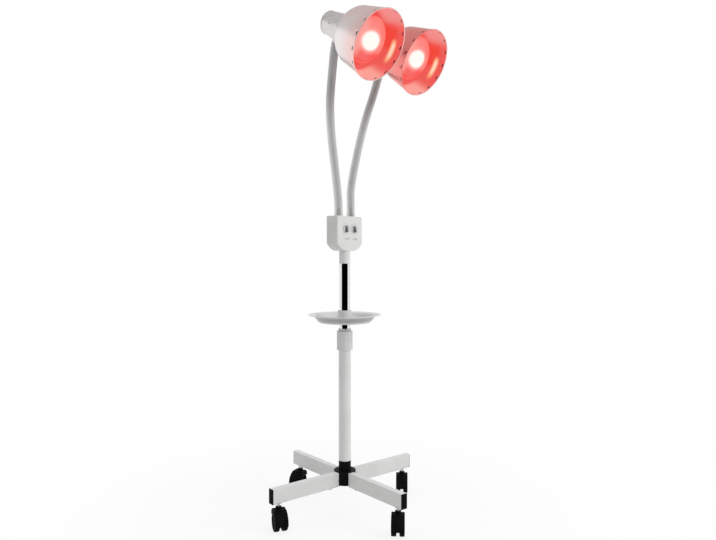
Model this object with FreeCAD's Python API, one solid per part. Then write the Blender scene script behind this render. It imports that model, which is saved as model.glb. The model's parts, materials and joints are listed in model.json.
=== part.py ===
import FreeCAD, Part
import math
import os

# Two-headed infrared heat therapy lamp on a four-leg caster stand.
# Millimetres. Origin on the column's axis at floor level, +Z up, the lamp heads face -Y.

V = FreeCAD.Vector
UP = V(0, 0, 1)
X_AXIS = V(1, 0, 0)

# ---------------------------------------------------------------- fits
run_fit = 0.05          # radial gap of a shaft that turns or slides in its bore
side_gap = 0.3          # gap between faces that move past each other
seat_fit = 0.1          # gap around a fixed plug or tongue

# ---------------------------------------------------------------- base
leg_width = 20.0
leg_height = 40.0
leg_wall = 1.5
leg_reach = 246.0       # column axis to the leg tube's outer end
leg_underside = 70.0    # floor to the underside of the legs
front_leg_angle = 258.3
leg_names = ["front", "right", "rear", "left"]
end_cap_flange = 2.0
end_cap_plug = 15.0
hub_radius = 31.0
hub_bottom = 74.0
hub_rise = 3.0          # drum top above the leg tops
hub_neck = 26.6         # height of the neck between drum and lower tube
hub_spigot = 50.0       # length of the spigot inside the lower tube
tongue_reach = 75.0     # column axis to the end of a tongue inside a leg
leg_bolt_reach = 54.0
leg_bolt_radius = 3.0
leg_bolt_length = 24.0
bolt_head_ratio = 1.7
bolt_head_height = 4.0
centre_bolt_radius = 4.0
centre_bolt_length = 70.0

# ---------------------------------------------------------------- casters
caster_setback = 22.0   # leg tube's outer end to a caster's swivel axis
caster_turns = {"front": 214.0, "right": 215.0, "rear": 196.0, "left": 238.0}
caster_trail = 15.0
wheel_radius = 25.0
wheel_width = 13.5
wheel_gap = 8.0
wheel_edge = 2.5
wheel_face_radius = 17.0
wheel_face_depth = 1.5
wheel_cap_radius = 7.0
web_thickness = 6.0
axle_radius = 3.0
axle_in_wheel = 11.0
hood_clear = 1.5        # hood's inner face to the wheels
hood_wall = 2.5
hood_rim = 1.6          # rounding of the hood's rims
hood_nose = 6.0         # bevel above the swivel end
hood_top = 55.0
boss_top = 60.0
boss_radius = 8.0
stem_radius = 4.0
stem_in_boss = 11.5
stem_flange_radius = 8.0
stem_flange = 2.0
stem_plug_radius = 5.5
stem_plug = 30.0

# ---------------------------------------------------------------- column
lower_tube_radius = 17.5
lower_tube_wall = 1.2
lower_tube_top = 480.0
upper_tube_radius = 16.0
upper_tube_wall = 1.5
upper_tube_bottom = 230.0
upper_tube_length = 472.0
foot_flange = 8.0
foot_plug = 20.0
foot_hole_radius = 5.0
collet_overlap = 24.0       # length of the collet's sleeve over the lower tube
collet_sleeve_radius = 19.4
collet_radius = 17.7
collet_rise = 37.0          # lower tube's top to the collet's top
collet_slots = 4
collet_slot_width = 1.5
collet_slot_depth = 22.0
collar_radius = 22.5
collar_rise = 30.0          # lower tube's top to the collar's top
collar_flutes = 12
collar_flute_radius = 3.0
collar_flute_depth = 0.8
collar_flute_end = 6.0
collar_shoulder = 14.0  # thickness of the collar's narrow upper ring

# ---------------------------------------------------------------- tray
tray_lift = 17.0            # collet's top to the tray's underside
tray_rim_height = 23.0
tray_floor_radius = 74.0
tray_wall_radius = 88.0
tray_wall_height = 18.0
tray_rim_radius = 103.5
tray_wall = 2.0
tray_boss_radius = 23.0
tray_boss_height = 35.0
tray_ring_wall = 2.4
tray_ring_flange = 3.0
tray_ring_flange_radius = 24.0

# ---------------------------------------------------------------- control box
box_width = 110.0
box_half_depth = 20.0
box_height = 98.0
box_belly = 21.0        # how far the curved bottom hangs below the straight sides
box_flat = 14.0         # half width of the level stretch of the bottom
box_wall = 2.2
box_bevel = 3.0
adaptor_spigot = 52.0
adaptor_body = 36.0         # upper tube's top to the box
adaptor_neck_radius = 12.0  # where the adaptor passes through the box's floor
adaptor_flange_radius = 17.0
adaptor_flange_lift = 1.0   # flange above the middle of the box's floor, whose sides curve up
adaptor_flange = 3.0
adaptor_bore = 8.0
knob_spacing = 36.0
knob_rise = 61.0            # box's bottom to the knobs' axes
knob_radius = 12.0
knob_skirt = 1.5
knob_grip_width = 9.0
knob_grip_length = 19.0
knob_grip = 3.0
spindle_radius = 3.0
spindle_length = 11.0
pot_radius = 8.5
pot_depth = 9.0
board_width = 94.0
board_rise = 30.0           # box's bottom to the board
board_height = 49.0
board_thickness = 1.6
heatsink_edge = 7.0         # board's side to the heatsink
heatsink_drop = 2.0         # board's top to the heatsink
heatsink_width = 18.0
heatsink_height = 20.0
heatsink_depth = 12.0
fin_base = 2.0
fin_pitch = 4.0
coil_edge = 17.0            # board's side to the coil's middle
coil_drop = 11.0            # board's top to the coil's middle
coil_radius = 9.0
coil_hole = 4.0
coil_depth = 8.0
capacitor_edge = 13.0
capacitor_lift = 4.0
capacitor_width = 16.0
capacitor_height = 18.0
terminals_edge = 13.0
terminals_lift = 3.0
terminals_width = 18.0
terminals_height = 10.0
component_depth = 9.0
post_radius = 4.0
upper_post_out = 47.0       # middle of the box to its posts, sideways
lower_post_out = 43.0
upper_post_rise = 87.0      # box's bottom to its posts
lower_post_rise = 43.0
screw_radius = 1.5
screw_head_radius = 2.8
screw_head = 2.0
screw_length = 26.0
inlet_rise = 52.0           # box's bottom to the inlet's middle
inlet_width = 24.0
inlet_tall = 13.0
inlet_flange = 2.5
inlet_flange_lip = 3.0
inlet_depth = 16.0
inlet_cavity_width = 18.0
inlet_cavity_tall = 9.0
inlet_floor = 3.0
pin_radius = 1.2
pin_spacing = 8.6
pin_length = 7.5

# ---------------------------------------------------------------- goosenecks
hose_radius = 11.5
hose_bore = 6.0
seat_depth = 5.5        # rim of a ball seat below the ball's centre
bend_share = 0.8        # share of the shorter run that a bend's arc takes up
arm_spacing = 54.0
arm_pivot_height = 30.0     # first pivot above the box
arm_nut_radius = 12.8
arm_nut = 6.0
arm_nut_bevel = 0.8
arm_collar_radius = 12.1
arm_collar_end = 12.0
arm_shank_radius = 6.5
arm_shank = 14.0
arm_flange_radius = 10.0
arm_flange = 4.0
# Bend points of each hose from its foot up: out from the column, forwards, and above the box.
left_bends = [(34.5, 0.0, 89.0), (69.5, 2.0, 274.0), (77.0, 20.0, 389.0)]
right_bends = [(30.5, -4.0, 89.0), (78.0, 4.0, 264.0), (111.0, 26.0, 379.0)]

# ---------------------------------------------------------------- lamp heads
head_pitch = 29.0       # degrees below level
head_rise = 525.0       # box's top to the rear end of a head's axis
left_head_out = 80.0    # the same ends, out from the column
right_head_out = 126.0
left_head_forward = 8.0
right_head_forward = 12.0
pivot_reach = 58.0      # along a head's axis, from its rear end to abreast of the tilt pivot
pivot_drop = 56.0       # a head's axis to its tilt pivot
neck_rear_radius = 30.8
neck_front_radius = 41.4
neck_length = 84.0
neck_wall = 1.5
neck_edge = 4.0
neck_flange_radius = 44.0
neck_flange = 2.0
neck_spigot_radius = 38.0
neck_spigot = 6.0
neck_vents = 8
neck_vent_width = 3.0
neck_vent_start = 21.5
neck_vent_length = 4.5
neck_boss_radius = 13.5
neck_boss_reach = 41.0      # a head's axis to the face that the hose fitting stands on
fitting_radius = 13.3
fitting_start = 7.0     # ball centre to the fitting's shoulder
fitting_bore = 6.0
head_length = 202.0
shade_wall = 1.3
shade_corner_radius = 49.5  # rear wall's outer corner
shade_front_radius = 92.6
shade_shoulder_radius = 77.0
shade_shoulder = 34.0       # depth of the rounded shoulder
shade_shoulder_bulge = 3.0
shade_bead = 1.1            # how far the rim's rolled edge stands out
shade_bead_depth = 3.0
shade_vents = 15
shade_vent_first = 104.0    # degrees from +X, seen from the front
shade_vent_width = 10.0
shade_vent_length = 3.4
shade_vent_back = 6.2       # rim to the middle of a vent
holder_radius = 20.0
holder_floor = 8.4
holder_groove = 1.5
cap_radius = 13.4
cap_clear = 0.2
cap_length = 27.0
bulb_length = 141.0     # glass only
bulb_radius = 62.5
bulb_waist_radius = 19.0
bulb_waist = 24.0
bulb_edge = 27.0        # widest place to the middle of the face
bulb_face_radius = 47.0
bulb_face_rise = 8.0
glass_wall = 1.2


# ---------------------------------------------------------------- helpers
def cylinder(radius, start, end):
    """Solid cylinder between two points."""
    run = end - start
    return Part.makeCylinder(radius, run.Length, start, run)


def upright(radius, low, high, x=0.0, y=0.0):
    return cylinder(radius, V(x, y, low), V(x, y, high))


def pipe(outer, inner, low, high):
    return upright(outer, low, high).cut(upright(inner, low - 1, high + 1))


def block(x0, x1, y0, y1, z0, z1):
    return Part.makeBox(x1 - x0, y1 - y0, z1 - z0, V(x0, y0, z0))


def turned(shape, angle, centre=V(0, 0, 0), axis=UP):
    copy = shape.copy()
    copy.rotate(centre, axis, angle)
    return copy


def ring_of(shape, count, offset=0.0):
    return [turned(shape, offset + 360.0 * i / count) for i in range(count)]


def spun(edges):
    """Solid of revolution about Z of a closed outline in the XZ plane."""
    return Part.Face(Part.Wire(edges)).revolve(V(0, 0, 0), UP, 360)


def polygon_edges(points):
    """Straight edges through (radius, height) points, closed."""
    corners = [V(r, 0, z) for r, z in points]
    return [Part.makeLine(a, b) for a, b in zip(corners, corners[1:] + corners[:1])]


def line(a, b):
    return Part.makeLine(V(a[0], 0, a[1]), V(b[0], 0, b[1]))


def arc(a, mid, b):
    return Part.Arc(V(a[0], 0, a[1]), V(mid[0], 0, mid[1]), V(b[0], 0, b[1])).toShape()


def chain(points, vias=()):
    """Edges from point to point; vias maps a stretch's index to an arc's middle point."""
    vias = dict(vias)
    edges = []
    for i, (a, b) in enumerate(zip(points, points[1:])):
        edges.append(arc(a, vias[i], b) if i in vias else line(a, b))
    return edges


def joined(shapes):
    return shapes[0].multiFuse(shapes[1:]).removeSplitter()


def without(shape, cutters):
    return shape.cut(Part.makeCompound(cutters))


parts = {}


# ---------------------------------------------------------------- base pieces
leg_top = leg_underside + leg_height
hub_top = leg_top + hub_rise
caster_reach = leg_reach - caster_setback
tube_foot = hub_top + hub_neck
lower_tube_bore = lower_tube_radius - lower_tube_wall
leg_angles = {name: front_leg_angle + 90.0 * i for i, name in enumerate(leg_names)}
upper_tube_top = upper_tube_bottom + upper_tube_length
collet_sleeve_bottom = lower_tube_top - collet_overlap
collet_top = lower_tube_top + collet_rise
collar_top = lower_tube_top + collar_rise
tray_bottom = collet_top + tray_lift
box_bottom = upper_tube_top + adaptor_body
box_top = box_bottom + box_height
box_side_bottom = box_bottom + box_belly
knob_height = box_bottom + knob_rise
inlet_height = box_bottom + inlet_rise


def make_hub():
    drum = upright(hub_radius, hub_bottom, hub_top)
    drum = drum.makeFillet(2.0, [e for e in drum.Edges if abs(e.BoundBox.ZMin - hub_top) < 0.01
                                 and abs(e.BoundBox.ZMax - hub_top) < 0.01])
    neck = upright(lower_tube_radius, hub_top, tube_foot)
    spigot = upright(lower_tube_bore - seat_fit, tube_foot, tube_foot + hub_spigot)
    half = leg_width / 2 - leg_wall - seat_fit
    low = leg_underside + leg_wall + seat_fit
    high = leg_top - leg_wall - seat_fit
    tongue = block(hub_radius - 8, tongue_reach, -half, half, low, high)
    tongue = tongue.cut(upright(leg_bolt_radius, low - 1, low + leg_bolt_length, leg_bolt_reach))
    tongues = [turned(tongue, leg_angles[name]) for name in leg_names]
    hub = joined([drum, neck, spigot] + tongues)
    recess_top = hub_bottom + bolt_head_height + 1
    recess = upright(centre_bolt_radius * bolt_head_ratio + 1, hub_bottom - 1, recess_top)
    shank = upright(centre_bolt_radius, hub_bottom, recess_top + centre_bolt_length)
    return without(hub, [recess.fuse(shank)])


def make_leg(name):
    inner = leg_width / 2 - leg_wall
    tube = block(hub_radius - 11, leg_reach, -leg_width / 2, leg_width / 2, leg_underside, leg_top)
    long_edges = [e for e in tube.Edges if abs(e.BoundBox.XLength - tube.BoundBox.XLength) < 0.1]
    tube = tube.makeFillet(2.0, long_edges)
    tube = tube.cut(block(hub_radius - 12, leg_reach + 1, -inner, inner,
                          leg_underside + leg_wall, leg_top - leg_wall))
    tube = tube.cut(upright(hub_radius, leg_underside - 1, leg_top + 1))
    floor_top = leg_underside + leg_wall + 1
    tube = tube.cut(upright(leg_bolt_radius, leg_underside - 1, floor_top, leg_bolt_reach))
    tube = tube.cut(upright(stem_plug_radius, leg_underside - 1, floor_top, caster_reach))
    return turned(tube, leg_angles[name])


def make_end_cap():
    flange = block(leg_reach, leg_reach + end_cap_flange, -leg_width / 2, leg_width / 2,
                   leg_underside, leg_top)
    flange = flange.makeFillet(1.2, [e for e in flange.Edges
                                     if e.BoundBox.XMin > leg_reach + end_cap_flange - 0.01])
    half = leg_width / 2 - leg_wall - seat_fit
    gap = leg_wall + seat_fit
    plug = block(leg_reach - end_cap_plug, leg_reach, -half, half, leg_underside + gap, leg_top - gap)
    clear = upright(stem_plug_radius + side_gap, leg_underside, leg_top, caster_reach)
    return flange.fuse(plug).removeSplitter().cut(clear)


def make_bolt(radius, length, head_bottom, x=0.0):
    head = upright(radius * bolt_head_ratio, head_bottom, head_bottom + bolt_head_height, x)
    shank = upright(radius, head_bottom + bolt_head_height, head_bottom + bolt_head_height + length, x)
    socket = upright(radius * 0.8, head_bottom - 1, head_bottom + bolt_head_height * 0.6, x)
    return head.fuse(shank).cut(socket)


def make_base_bolts():
    head_bottom = leg_underside - bolt_head_height
    leg_bolt = make_bolt(leg_bolt_radius, leg_bolt_length - 1, head_bottom, leg_bolt_reach)
    bolts = [turned(leg_bolt, leg_angles[name]) for name in leg_names]
    bolts.append(make_bolt(centre_bolt_radius, centre_bolt_length, hub_bottom + 1))
    return Part.makeCompound(bolts)


def make_stem():
    """Caster stem: plug inside the leg, flange below it, spindle for the caster to turn on."""
    plug = upright(stem_plug_radius, leg_underside, leg_underside + stem_plug, caster_reach)
    flange = upright(stem_flange_radius, leg_underside - stem_flange, leg_underside, caster_reach)
    spindle = upright(stem_radius, boss_top - stem_in_boss, leg_underside - stem_flange, caster_reach)
    return joined([plug, flange, spindle])


parts["base_hub"] = make_hub()
for leg_name in leg_names:
    parts["leg_" + leg_name] = make_leg(leg_name)
parts["leg_end_caps"] = Part.makeCompound([turned(make_end_cap(), leg_angles[n]) for n in leg_names])
parts["base_bolts"] = make_base_bolts()
parts["caster_stems"] = Part.makeCompound([turned(make_stem(), leg_angles[n]) for n in leg_names])


# ---------------------------------------------------------------- casters
# Built about the axle, which runs along Y through (0, 0, wheel_radius); the trail is along +X.
hood_inner = wheel_radius + hood_clear
hood_outer = hood_inner + hood_wall
hood_half = wheel_gap / 2 + wheel_width


def along_y(radius, y0, y1, x=0.0, z=wheel_radius):
    return cylinder(radius, V(x, y0, z), V(x, y1, z))


def make_caster_housing():
    front = -caster_trail - boss_radius - 3
    drum = along_y(hood_outer, -hood_half, hood_half)
    drum = drum.makeFillet(hood_rim, [e for e in drum.Edges if e.BoundBox.YLength < 0.01])
    top = block(front, 6, -hood_half, hood_half, wheel_radius + 14, hood_top)
    top = top.makeChamfer(hood_nose, [e for e in top.Edges if e.BoundBox.XMax < front + 0.01
                                      and e.BoundBox.ZMin > hood_top - 0.01])
    top = top.makeFillet(hood_rim, [e for e in top.Edges if e.BoundBox.YLength < 0.01
                                    and e.BoundBox.ZMin > hood_top - hood_nose - 0.01
                                    and e.BoundBox.XLength > 1])
    shell = drum.fuse(top).removeSplitter()
    shell = shell.common(block(front, hood_outer + 1, -hood_half, hood_half, wheel_radius - 6, hood_top))
    shell = shell.fuse(upright(boss_radius, hood_top - 4, boss_top, -caster_trail))
    inner = along_y(hood_inner, -hood_half - 1, hood_half + 1)
    lead = block(front - 1, 0, -hood_half - 1, hood_half + 1, 0, wheel_radius + 14)
    shell = shell.cut(inner).cut(lead)
    half = web_thickness / 2
    outline = [(-9, 20), (9, 20), (16, 26), (24, 30), (24, 38), (0, 53), (-18, 53), (-24, 46), (-24, 40),
               (-14, 26)]
    corners = [V(x, -half, z) for x, z in outline]
    web = Part.Face(Part.makePolygon(corners + corners[:1])).extrude(V(0, web_thickness, 0))
    housing = joined([shell, web])
    bore = upright(stem_radius + run_fit, boss_top - stem_in_boss - side_gap, boss_top + 1, -caster_trail)
    return housing.cut(bore).cut(along_y(axle_radius, -hood_half, hood_half))


def make_axle():
    reach = wheel_gap / 2 + axle_in_wheel
    return along_y(axle_radius, -reach, reach)


def make_wheel(side):
    inner = wheel_gap / 2
    outer = inner + wheel_width
    face = outer - wheel_face_depth
    low = axle_radius + run_fit
    depth = inner + axle_in_wheel + side_gap
    outline = [(low, inner), (wheel_radius - wheel_edge, inner), (wheel_radius, inner + wheel_edge),
               (wheel_radius, outer - wheel_edge), (wheel_radius - wheel_edge, outer),
               (wheel_face_radius, outer), (wheel_face_radius - 1.5, face), (wheel_cap_radius, face),
               (wheel_cap_radius, outer), (0, outer), (0, depth), (low, depth)]
    wheel = spun(polygon_edges(outline))
    wheel.rotate(V(0, 0, 0), X_AXIS, -90 * side)
    wheel.translate(V(0, 0, wheel_radius))
    return wheel


def place_caster(shape, name):
    """Swivel axis to its leg's caster seat, trail turned to its own direction."""
    copy = shape.copy()
    copy.translate(V(caster_trail, 0, 0))
    copy.rotate(V(0, 0, 0), UP, caster_turns[name])
    leg = math.radians(leg_angles[name])
    copy.translate(V(caster_reach * math.cos(leg), caster_reach * math.sin(leg), 0))
    return copy


for leg_name in leg_names:
    prefix = "caster_" + leg_name
    parts[prefix + "_housing"] = place_caster(make_caster_housing(), leg_name)
    parts[prefix + "_axle"] = place_caster(make_axle(), leg_name)
    parts[prefix + "_wheel_a"] = place_caster(make_wheel(1), leg_name)
    parts[prefix + "_wheel_b"] = place_caster(make_wheel(-1), leg_name)


# ---------------------------------------------------------------- column pieces
upper_tube_bore = upper_tube_radius - upper_tube_wall
collet_bore = upper_tube_radius + run_fit


def make_foot():
    flange = pipe(lower_tube_bore - run_fit * 2, foot_hole_radius,
                  upper_tube_bottom - foot_flange, upper_tube_bottom)
    plug = pipe(upper_tube_bore, foot_hole_radius, upper_tube_bottom, upper_tube_bottom + foot_plug)
    return flange.fuse(plug).removeSplitter()


def make_collet():
    """Sleeve fixed over the lower tube's top, with slit fingers that grip the upper tube."""
    sleeve = pipe(collet_sleeve_radius, lower_tube_radius, collet_sleeve_bottom, lower_tube_top)
    shoulder_top = collar_top - collar_shoulder - side_gap
    bridge = pipe(collet_sleeve_radius, collet_bore, lower_tube_top, shoulder_top)
    fingers = pipe(collet_radius, collet_bore, shoulder_top, collet_top)
    slot = block(0, collet_radius + 3, -collet_slot_width / 2, collet_slot_width / 2,
                 collet_top - collet_slot_depth, collet_top + 1)
    return without(joined([sleeve, bridge, fingers]), ring_of(slot, collet_slots, 45))


def make_collar():
    shoulder_bottom = collar_top - collar_shoulder
    body = upright(collar_radius, collet_sleeve_bottom, collar_top)
    body = body.makeFillet(1.5, [e for e in body.Edges if abs(e.BoundBox.ZLength) < 0.01])
    body = body.cut(upright(collet_sleeve_radius + side_gap, collet_sleeve_bottom - 1, shoulder_bottom))
    body = body.cut(upright(collet_radius + side_gap, shoulder_bottom - 1, collar_top + 1))
    flute = upright(collar_flute_radius, collet_sleeve_bottom + collar_flute_end,
                    collar_top - collar_flute_end, collar_radius + collar_flute_radius - collar_flute_depth)
    return without(body, ring_of(flute, collar_flutes))


parts["lower_tube"] = pipe(lower_tube_radius, lower_tube_bore, tube_foot, lower_tube_top)
parts["collet"] = make_collet()
parts["collar_nut"] = make_collar()
parts["upper_tube"] = pipe(upper_tube_radius, upper_tube_bore, upper_tube_bottom, upper_tube_top)
parts["mast_foot"] = make_foot()


# ---------------------------------------------------------------- tray pieces
ring_radius = collet_bore + tray_ring_wall
tray_bore = ring_radius + run_fit


def make_tray():
    t = tray_wall
    z = tray_bottom
    slope = (tray_wall_radius - tray_floor_radius) / tray_wall_height
    inner_floor = tray_floor_radius + slope * t - t
    outline = [(tray_bore, z), (tray_floor_radius, z), (tray_wall_radius, z + tray_wall_height),
               (tray_rim_radius, z + tray_rim_height - t / 2), (tray_rim_radius, z + tray_rim_height),
               (tray_rim_radius - 2, z + tray_rim_height + t / 4),
               (tray_wall_radius - t, z + tray_wall_height + t), (inner_floor, z + t),
               (tray_boss_radius, z + t), (tray_boss_radius - 2, z + tray_boss_height),
               (tray_bore, z + tray_boss_height)]
    return spun(polygon_edges(outline))


def make_tray_ring():
    z = tray_bottom
    flange = pipe(tray_ring_flange_radius, collet_bore, z - tray_ring_flange, z)
    sleeve = pipe(ring_radius, collet_bore, z, z + tray_boss_height)
    return flange.fuse(sleeve).removeSplitter()


parts["tray_ring"] = make_tray_ring()
parts["tray"] = make_tray()


# ---------------------------------------------------------------- control box pieces
half_width = box_width / 2
face_y = -box_half_depth
knob_places = {"left": -knob_spacing / 2, "right": knob_spacing / 2}
arm_places = {"left": -arm_spacing / 2, "right": arm_spacing / 2}


def box_outline(inset):
    """Front view of the box: square top corners and a belly that curves in to the pole."""
    run = half_width - box_flat
    rise = box_side_bottom - box_bottom
    radius = (run * run + rise * rise) / (2 * rise) - inset
    centre_z = box_bottom + radius + inset
    side = half_width - inset
    flat = box_flat
    low = centre_z - math.sqrt(radius * radius - (side - flat) ** 2)
    halfway = math.asin((side - flat) / radius) / 2
    bulge = (flat + radius * math.sin(halfway), centre_z - radius * math.cos(halfway))
    top = box_top - inset
    floor = box_bottom + inset
    edges = chain([(-flat, floor), (flat, floor), (side, low), (side, top), (-side, top), (-side, low)],
                  {1: bulge})
    edges.append(arc((-side, low), (-bulge[0], bulge[1]), (-flat, floor)))
    return Part.Face(Part.Wire(edges))


def slab(inset, y0, y1):
    face = box_outline(inset)
    face.translate(V(0, y0, 0))
    return face.extrude(V(0, y1 - y0, 0))


def make_casing():
    """Whole hollow casing, bevelled at the front and eased at the back."""
    outer = slab(0, -box_half_depth, box_half_depth)
    sides = [e for e in outer.Edges if e.BoundBox.YLength > box_half_depth]
    outer = outer.makeFillet(4.0, sides)
    front = [e for e in outer.Edges if e.BoundBox.YMax < -box_half_depth + 0.01]
    outer = outer.makeChamfer(box_bevel, front)
    back = [e for e in outer.Edges if e.BoundBox.YMin > box_half_depth - 0.01]
    outer = outer.makeFillet(box_wall / 2, back)
    hollow = slab(box_wall, box_wall - box_half_depth, box_half_depth - box_wall)
    return outer.cut(hollow)


def box_cuts():
    cuts = [upright(adaptor_neck_radius + seat_fit, box_bottom - 1, box_bottom + box_wall + 5)]
    for x in arm_places.values():
        cuts.append(upright(arm_shank_radius + run_fit, box_top - box_wall - 1, box_top + 1, x))
    return cuts


post_places = [(side * out, box_bottom + rise) for out, rise in
               ((upper_post_out, upper_post_rise), (lower_post_out, lower_post_rise)) for side in (-1, 1)]


def post(x, z, y0, y1):
    return cylinder(post_radius, V(x, y0, z), V(x, y1, z))


def make_box_half(side):
    """side -1 is the front cover, +1 the rear shell; the halves meet on the plane y = 0."""
    reach = side * (box_half_depth + 5)
    half = make_casing().common(block(-box_width, box_width, min(0, reach), max(0, reach),
                                      box_bottom - 5, box_top + 5))
    wall_y = side * (box_half_depth - box_wall)
    posts = [post(x, z, 0, wall_y) for x, z in post_places]
    half = joined([half] + posts)
    cuts = box_cuts()
    for x, z in post_places:
        head_y = box_half_depth - screw_head
        cuts.append(cylinder(screw_radius, V(x, head_y, z), V(x, head_y - screw_length, z)))
        cuts.append(cylinder(screw_head_radius + seat_fit, V(x, head_y, z), V(x, box_half_depth + 1, z)))
    if side < 0:
        for x in knob_places.values():
            cuts.append(cylinder(spindle_radius + side_gap, V(x, face_y - 1, knob_height),
                                 V(x, face_y + box_wall + 1, knob_height)))
    else:
        cuts.append(block(-inlet_width / 2, inlet_width / 2, 0, box_half_depth + 1,
                          inlet_height - inlet_tall / 2, inlet_height + inlet_tall / 2))
    return without(half, cuts)


def make_screw(x, z):
    head_y = box_half_depth - screw_head
    head = cylinder(screw_head_radius, V(x, head_y, z), V(x, box_half_depth - 0.3, z))
    shank = cylinder(screw_radius, V(x, head_y, z), V(x, head_y - screw_length + 1, z))
    arm = block(x - screw_head_radius * 0.7, x + screw_head_radius * 0.7, box_half_depth - 1.2,
                box_half_depth, z - 0.4, z + 0.4)
    cross = arm.fuse(turned(arm, 90, V(x, 0, z), V(0, 1, 0)))
    return head.fuse(shank).cut(cross)


def make_adaptor():
    """Plugs into the upper tube, stands on its end and carries the box between shoulder and flange."""
    flange_bottom = box_bottom + box_wall + adaptor_flange_lift
    flange_top = flange_bottom + adaptor_flange
    spigot = upright(upper_tube_bore - run_fit, upper_tube_top - adaptor_spigot, upper_tube_top + side_gap)
    body = upright(upper_tube_radius, upper_tube_top + side_gap / 3, box_bottom)
    neck = upright(adaptor_neck_radius, box_bottom, flange_bottom)
    flange = upright(adaptor_flange_radius, flange_bottom, flange_top)
    bore = upright(adaptor_bore, upper_tube_top - adaptor_spigot - 1, flange_top + 1)
    return joined([spigot, body, neck, flange]).cut(bore)


def make_pots():
    pots = []
    for x in knob_places.values():
        back = face_y + box_wall
        body = cylinder(pot_radius, V(x, back, knob_height), V(x, back + pot_depth, knob_height))
        bore_end = face_y - side_gap * 2 + spindle_length + side_gap
        bore = cylinder(spindle_radius + run_fit, V(x, back - 1, knob_height), V(x, bore_end, knob_height))
        pots.append(body.cut(bore))
    return Part.makeCompound(pots)


def make_heatsink(x, y, z):
    """Finned block whose lower corner on the board is at x, z."""
    sink = block(x, x + heatsink_width, y, y + heatsink_depth, z, z + heatsink_height)
    gaps = []
    for i in range(int(heatsink_width / fin_pitch)):
        gap = x + fin_base + i * fin_pitch
        gaps.append(block(gap, gap + fin_pitch / 2, y + fin_base, y + heatsink_depth + 1,
                          z - 1, z + heatsink_height + 1))
    return without(sink, gaps)


def make_board():
    """Board with its heatsink, coil, capacitor and cable terminals."""
    y0 = face_y + box_wall + pot_depth
    y1 = y0 + board_thickness
    half = board_width / 2
    bottom = box_bottom + board_rise
    top = bottom + board_height
    board = block(-half, half, y0, y1, bottom, top)
    holes = [cylinder(post_radius + seat_fit, V(x, y0 - 1, z), V(x, y1 + 1, z)) for x, z in post_places]
    heatsink = make_heatsink(heatsink_edge - half, y1, top - heatsink_drop - heatsink_height)
    coil_x = half - coil_edge
    coil_z = top - coil_drop
    coil = along_y(coil_radius, y1, y1 + coil_depth, coil_x, coil_z)
    coil = coil.cut(along_y(coil_hole, y1 + 1, y1 + coil_depth + 1, coil_x, coil_z))
    right = half - capacitor_edge
    low = bottom + capacitor_lift
    capacitor = block(right - capacitor_width, right, y1, y1 + component_depth, low, low + capacitor_height)
    left = terminals_edge - half
    low = bottom + terminals_lift
    terminals = block(left, left + terminals_width, y1, y1 + component_depth, low, low + terminals_height)
    return without(joined([board, heatsink, coil, capacitor, terminals]), holes)


def make_inlet():
    y1 = box_half_depth
    flange = block(-inlet_width / 2 - inlet_flange_lip, inlet_width / 2 + inlet_flange_lip, y1,
                   y1 + inlet_flange, inlet_height - inlet_tall / 2 - inlet_flange_lip,
                   inlet_height + inlet_tall / 2 + inlet_flange_lip)
    flange = flange.makeFillet(3.0, [e for e in flange.Edges
                                     if abs(e.BoundBox.YLength - inlet_flange) < 0.01])
    body = block(-inlet_width / 2 + seat_fit, inlet_width / 2 - seat_fit, y1 + inlet_flange - inlet_depth, y1,
                 inlet_height - inlet_tall / 2 + seat_fit, inlet_height + inlet_tall / 2 - seat_fit)
    floor_y = y1 + inlet_flange - inlet_depth + inlet_floor
    cavity = block(-inlet_cavity_width / 2, inlet_cavity_width / 2, floor_y, y1 + inlet_flange + 1,
                   inlet_height - inlet_cavity_tall / 2, inlet_height + inlet_cavity_tall / 2)
    inlet = flange.fuse(body).removeSplitter().cut(cavity)
    pins = [along_y(pin_radius, floor_y - 1, floor_y + pin_length, x, inlet_height)
            for x in (-pin_spacing / 2, pin_spacing / 2)]
    return joined([inlet] + pins)


def make_knob(side):
    x = knob_places[side]
    back = face_y - side_gap * 2
    front = back - knob_skirt
    skirt = cylinder(knob_radius, V(x, back, knob_height), V(x, front, knob_height))
    skirt = skirt.makeFillet(1.0, [e for e in skirt.Edges if e.BoundBox.YMax < front + 0.01])
    half = knob_grip_width / 2
    reach = knob_grip_length / 2 - half
    grip = block(x - half, x + half, front - knob_grip, front, knob_height - reach, knob_height + reach)
    for z in (knob_height - reach, knob_height + reach):
        grip = grip.fuse(cylinder(half, V(x, front, z), V(x, front - knob_grip, z)))
    grip = grip.removeSplitter()
    grip = grip.makeFillet(0.8, [e for e in grip.Edges if e.BoundBox.YMax < front - knob_grip + 0.01])
    spindle = cylinder(spindle_radius, V(x, back, knob_height), V(x, back + spindle_length, knob_height))
    return joined([skirt, grip, spindle])


parts["pole_adaptor"] = make_adaptor()
parts["box_rear_shell"] = make_box_half(1)
parts["box_front_cover"] = make_box_half(-1)
parts["box_screws"] = Part.makeCompound([make_screw(x, z) for x, z in post_places])
parts["dimmer_controls"] = make_pots()
parts["circuit_board"] = make_board()
parts["power_inlet"] = make_inlet()
parts["knob_left"] = make_knob("left")
parts["knob_right"] = make_knob("right")


# ---------------------------------------------------------------- goosenecks
pivot_height = box_top + arm_pivot_height
ball_seat_radius = hose_radius + side_gap
head_places = {"left": V(-left_head_out, -left_head_forward, box_top + head_rise),
               "right": V(right_head_out, -right_head_forward, box_top + head_rise)}
arm_routes = {"left": [V(-out, -forward, box_top + rise) for out, forward, rise in left_bends],
              "right": [V(out, -forward, box_top + rise) for out, forward, rise in right_bends]}


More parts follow.
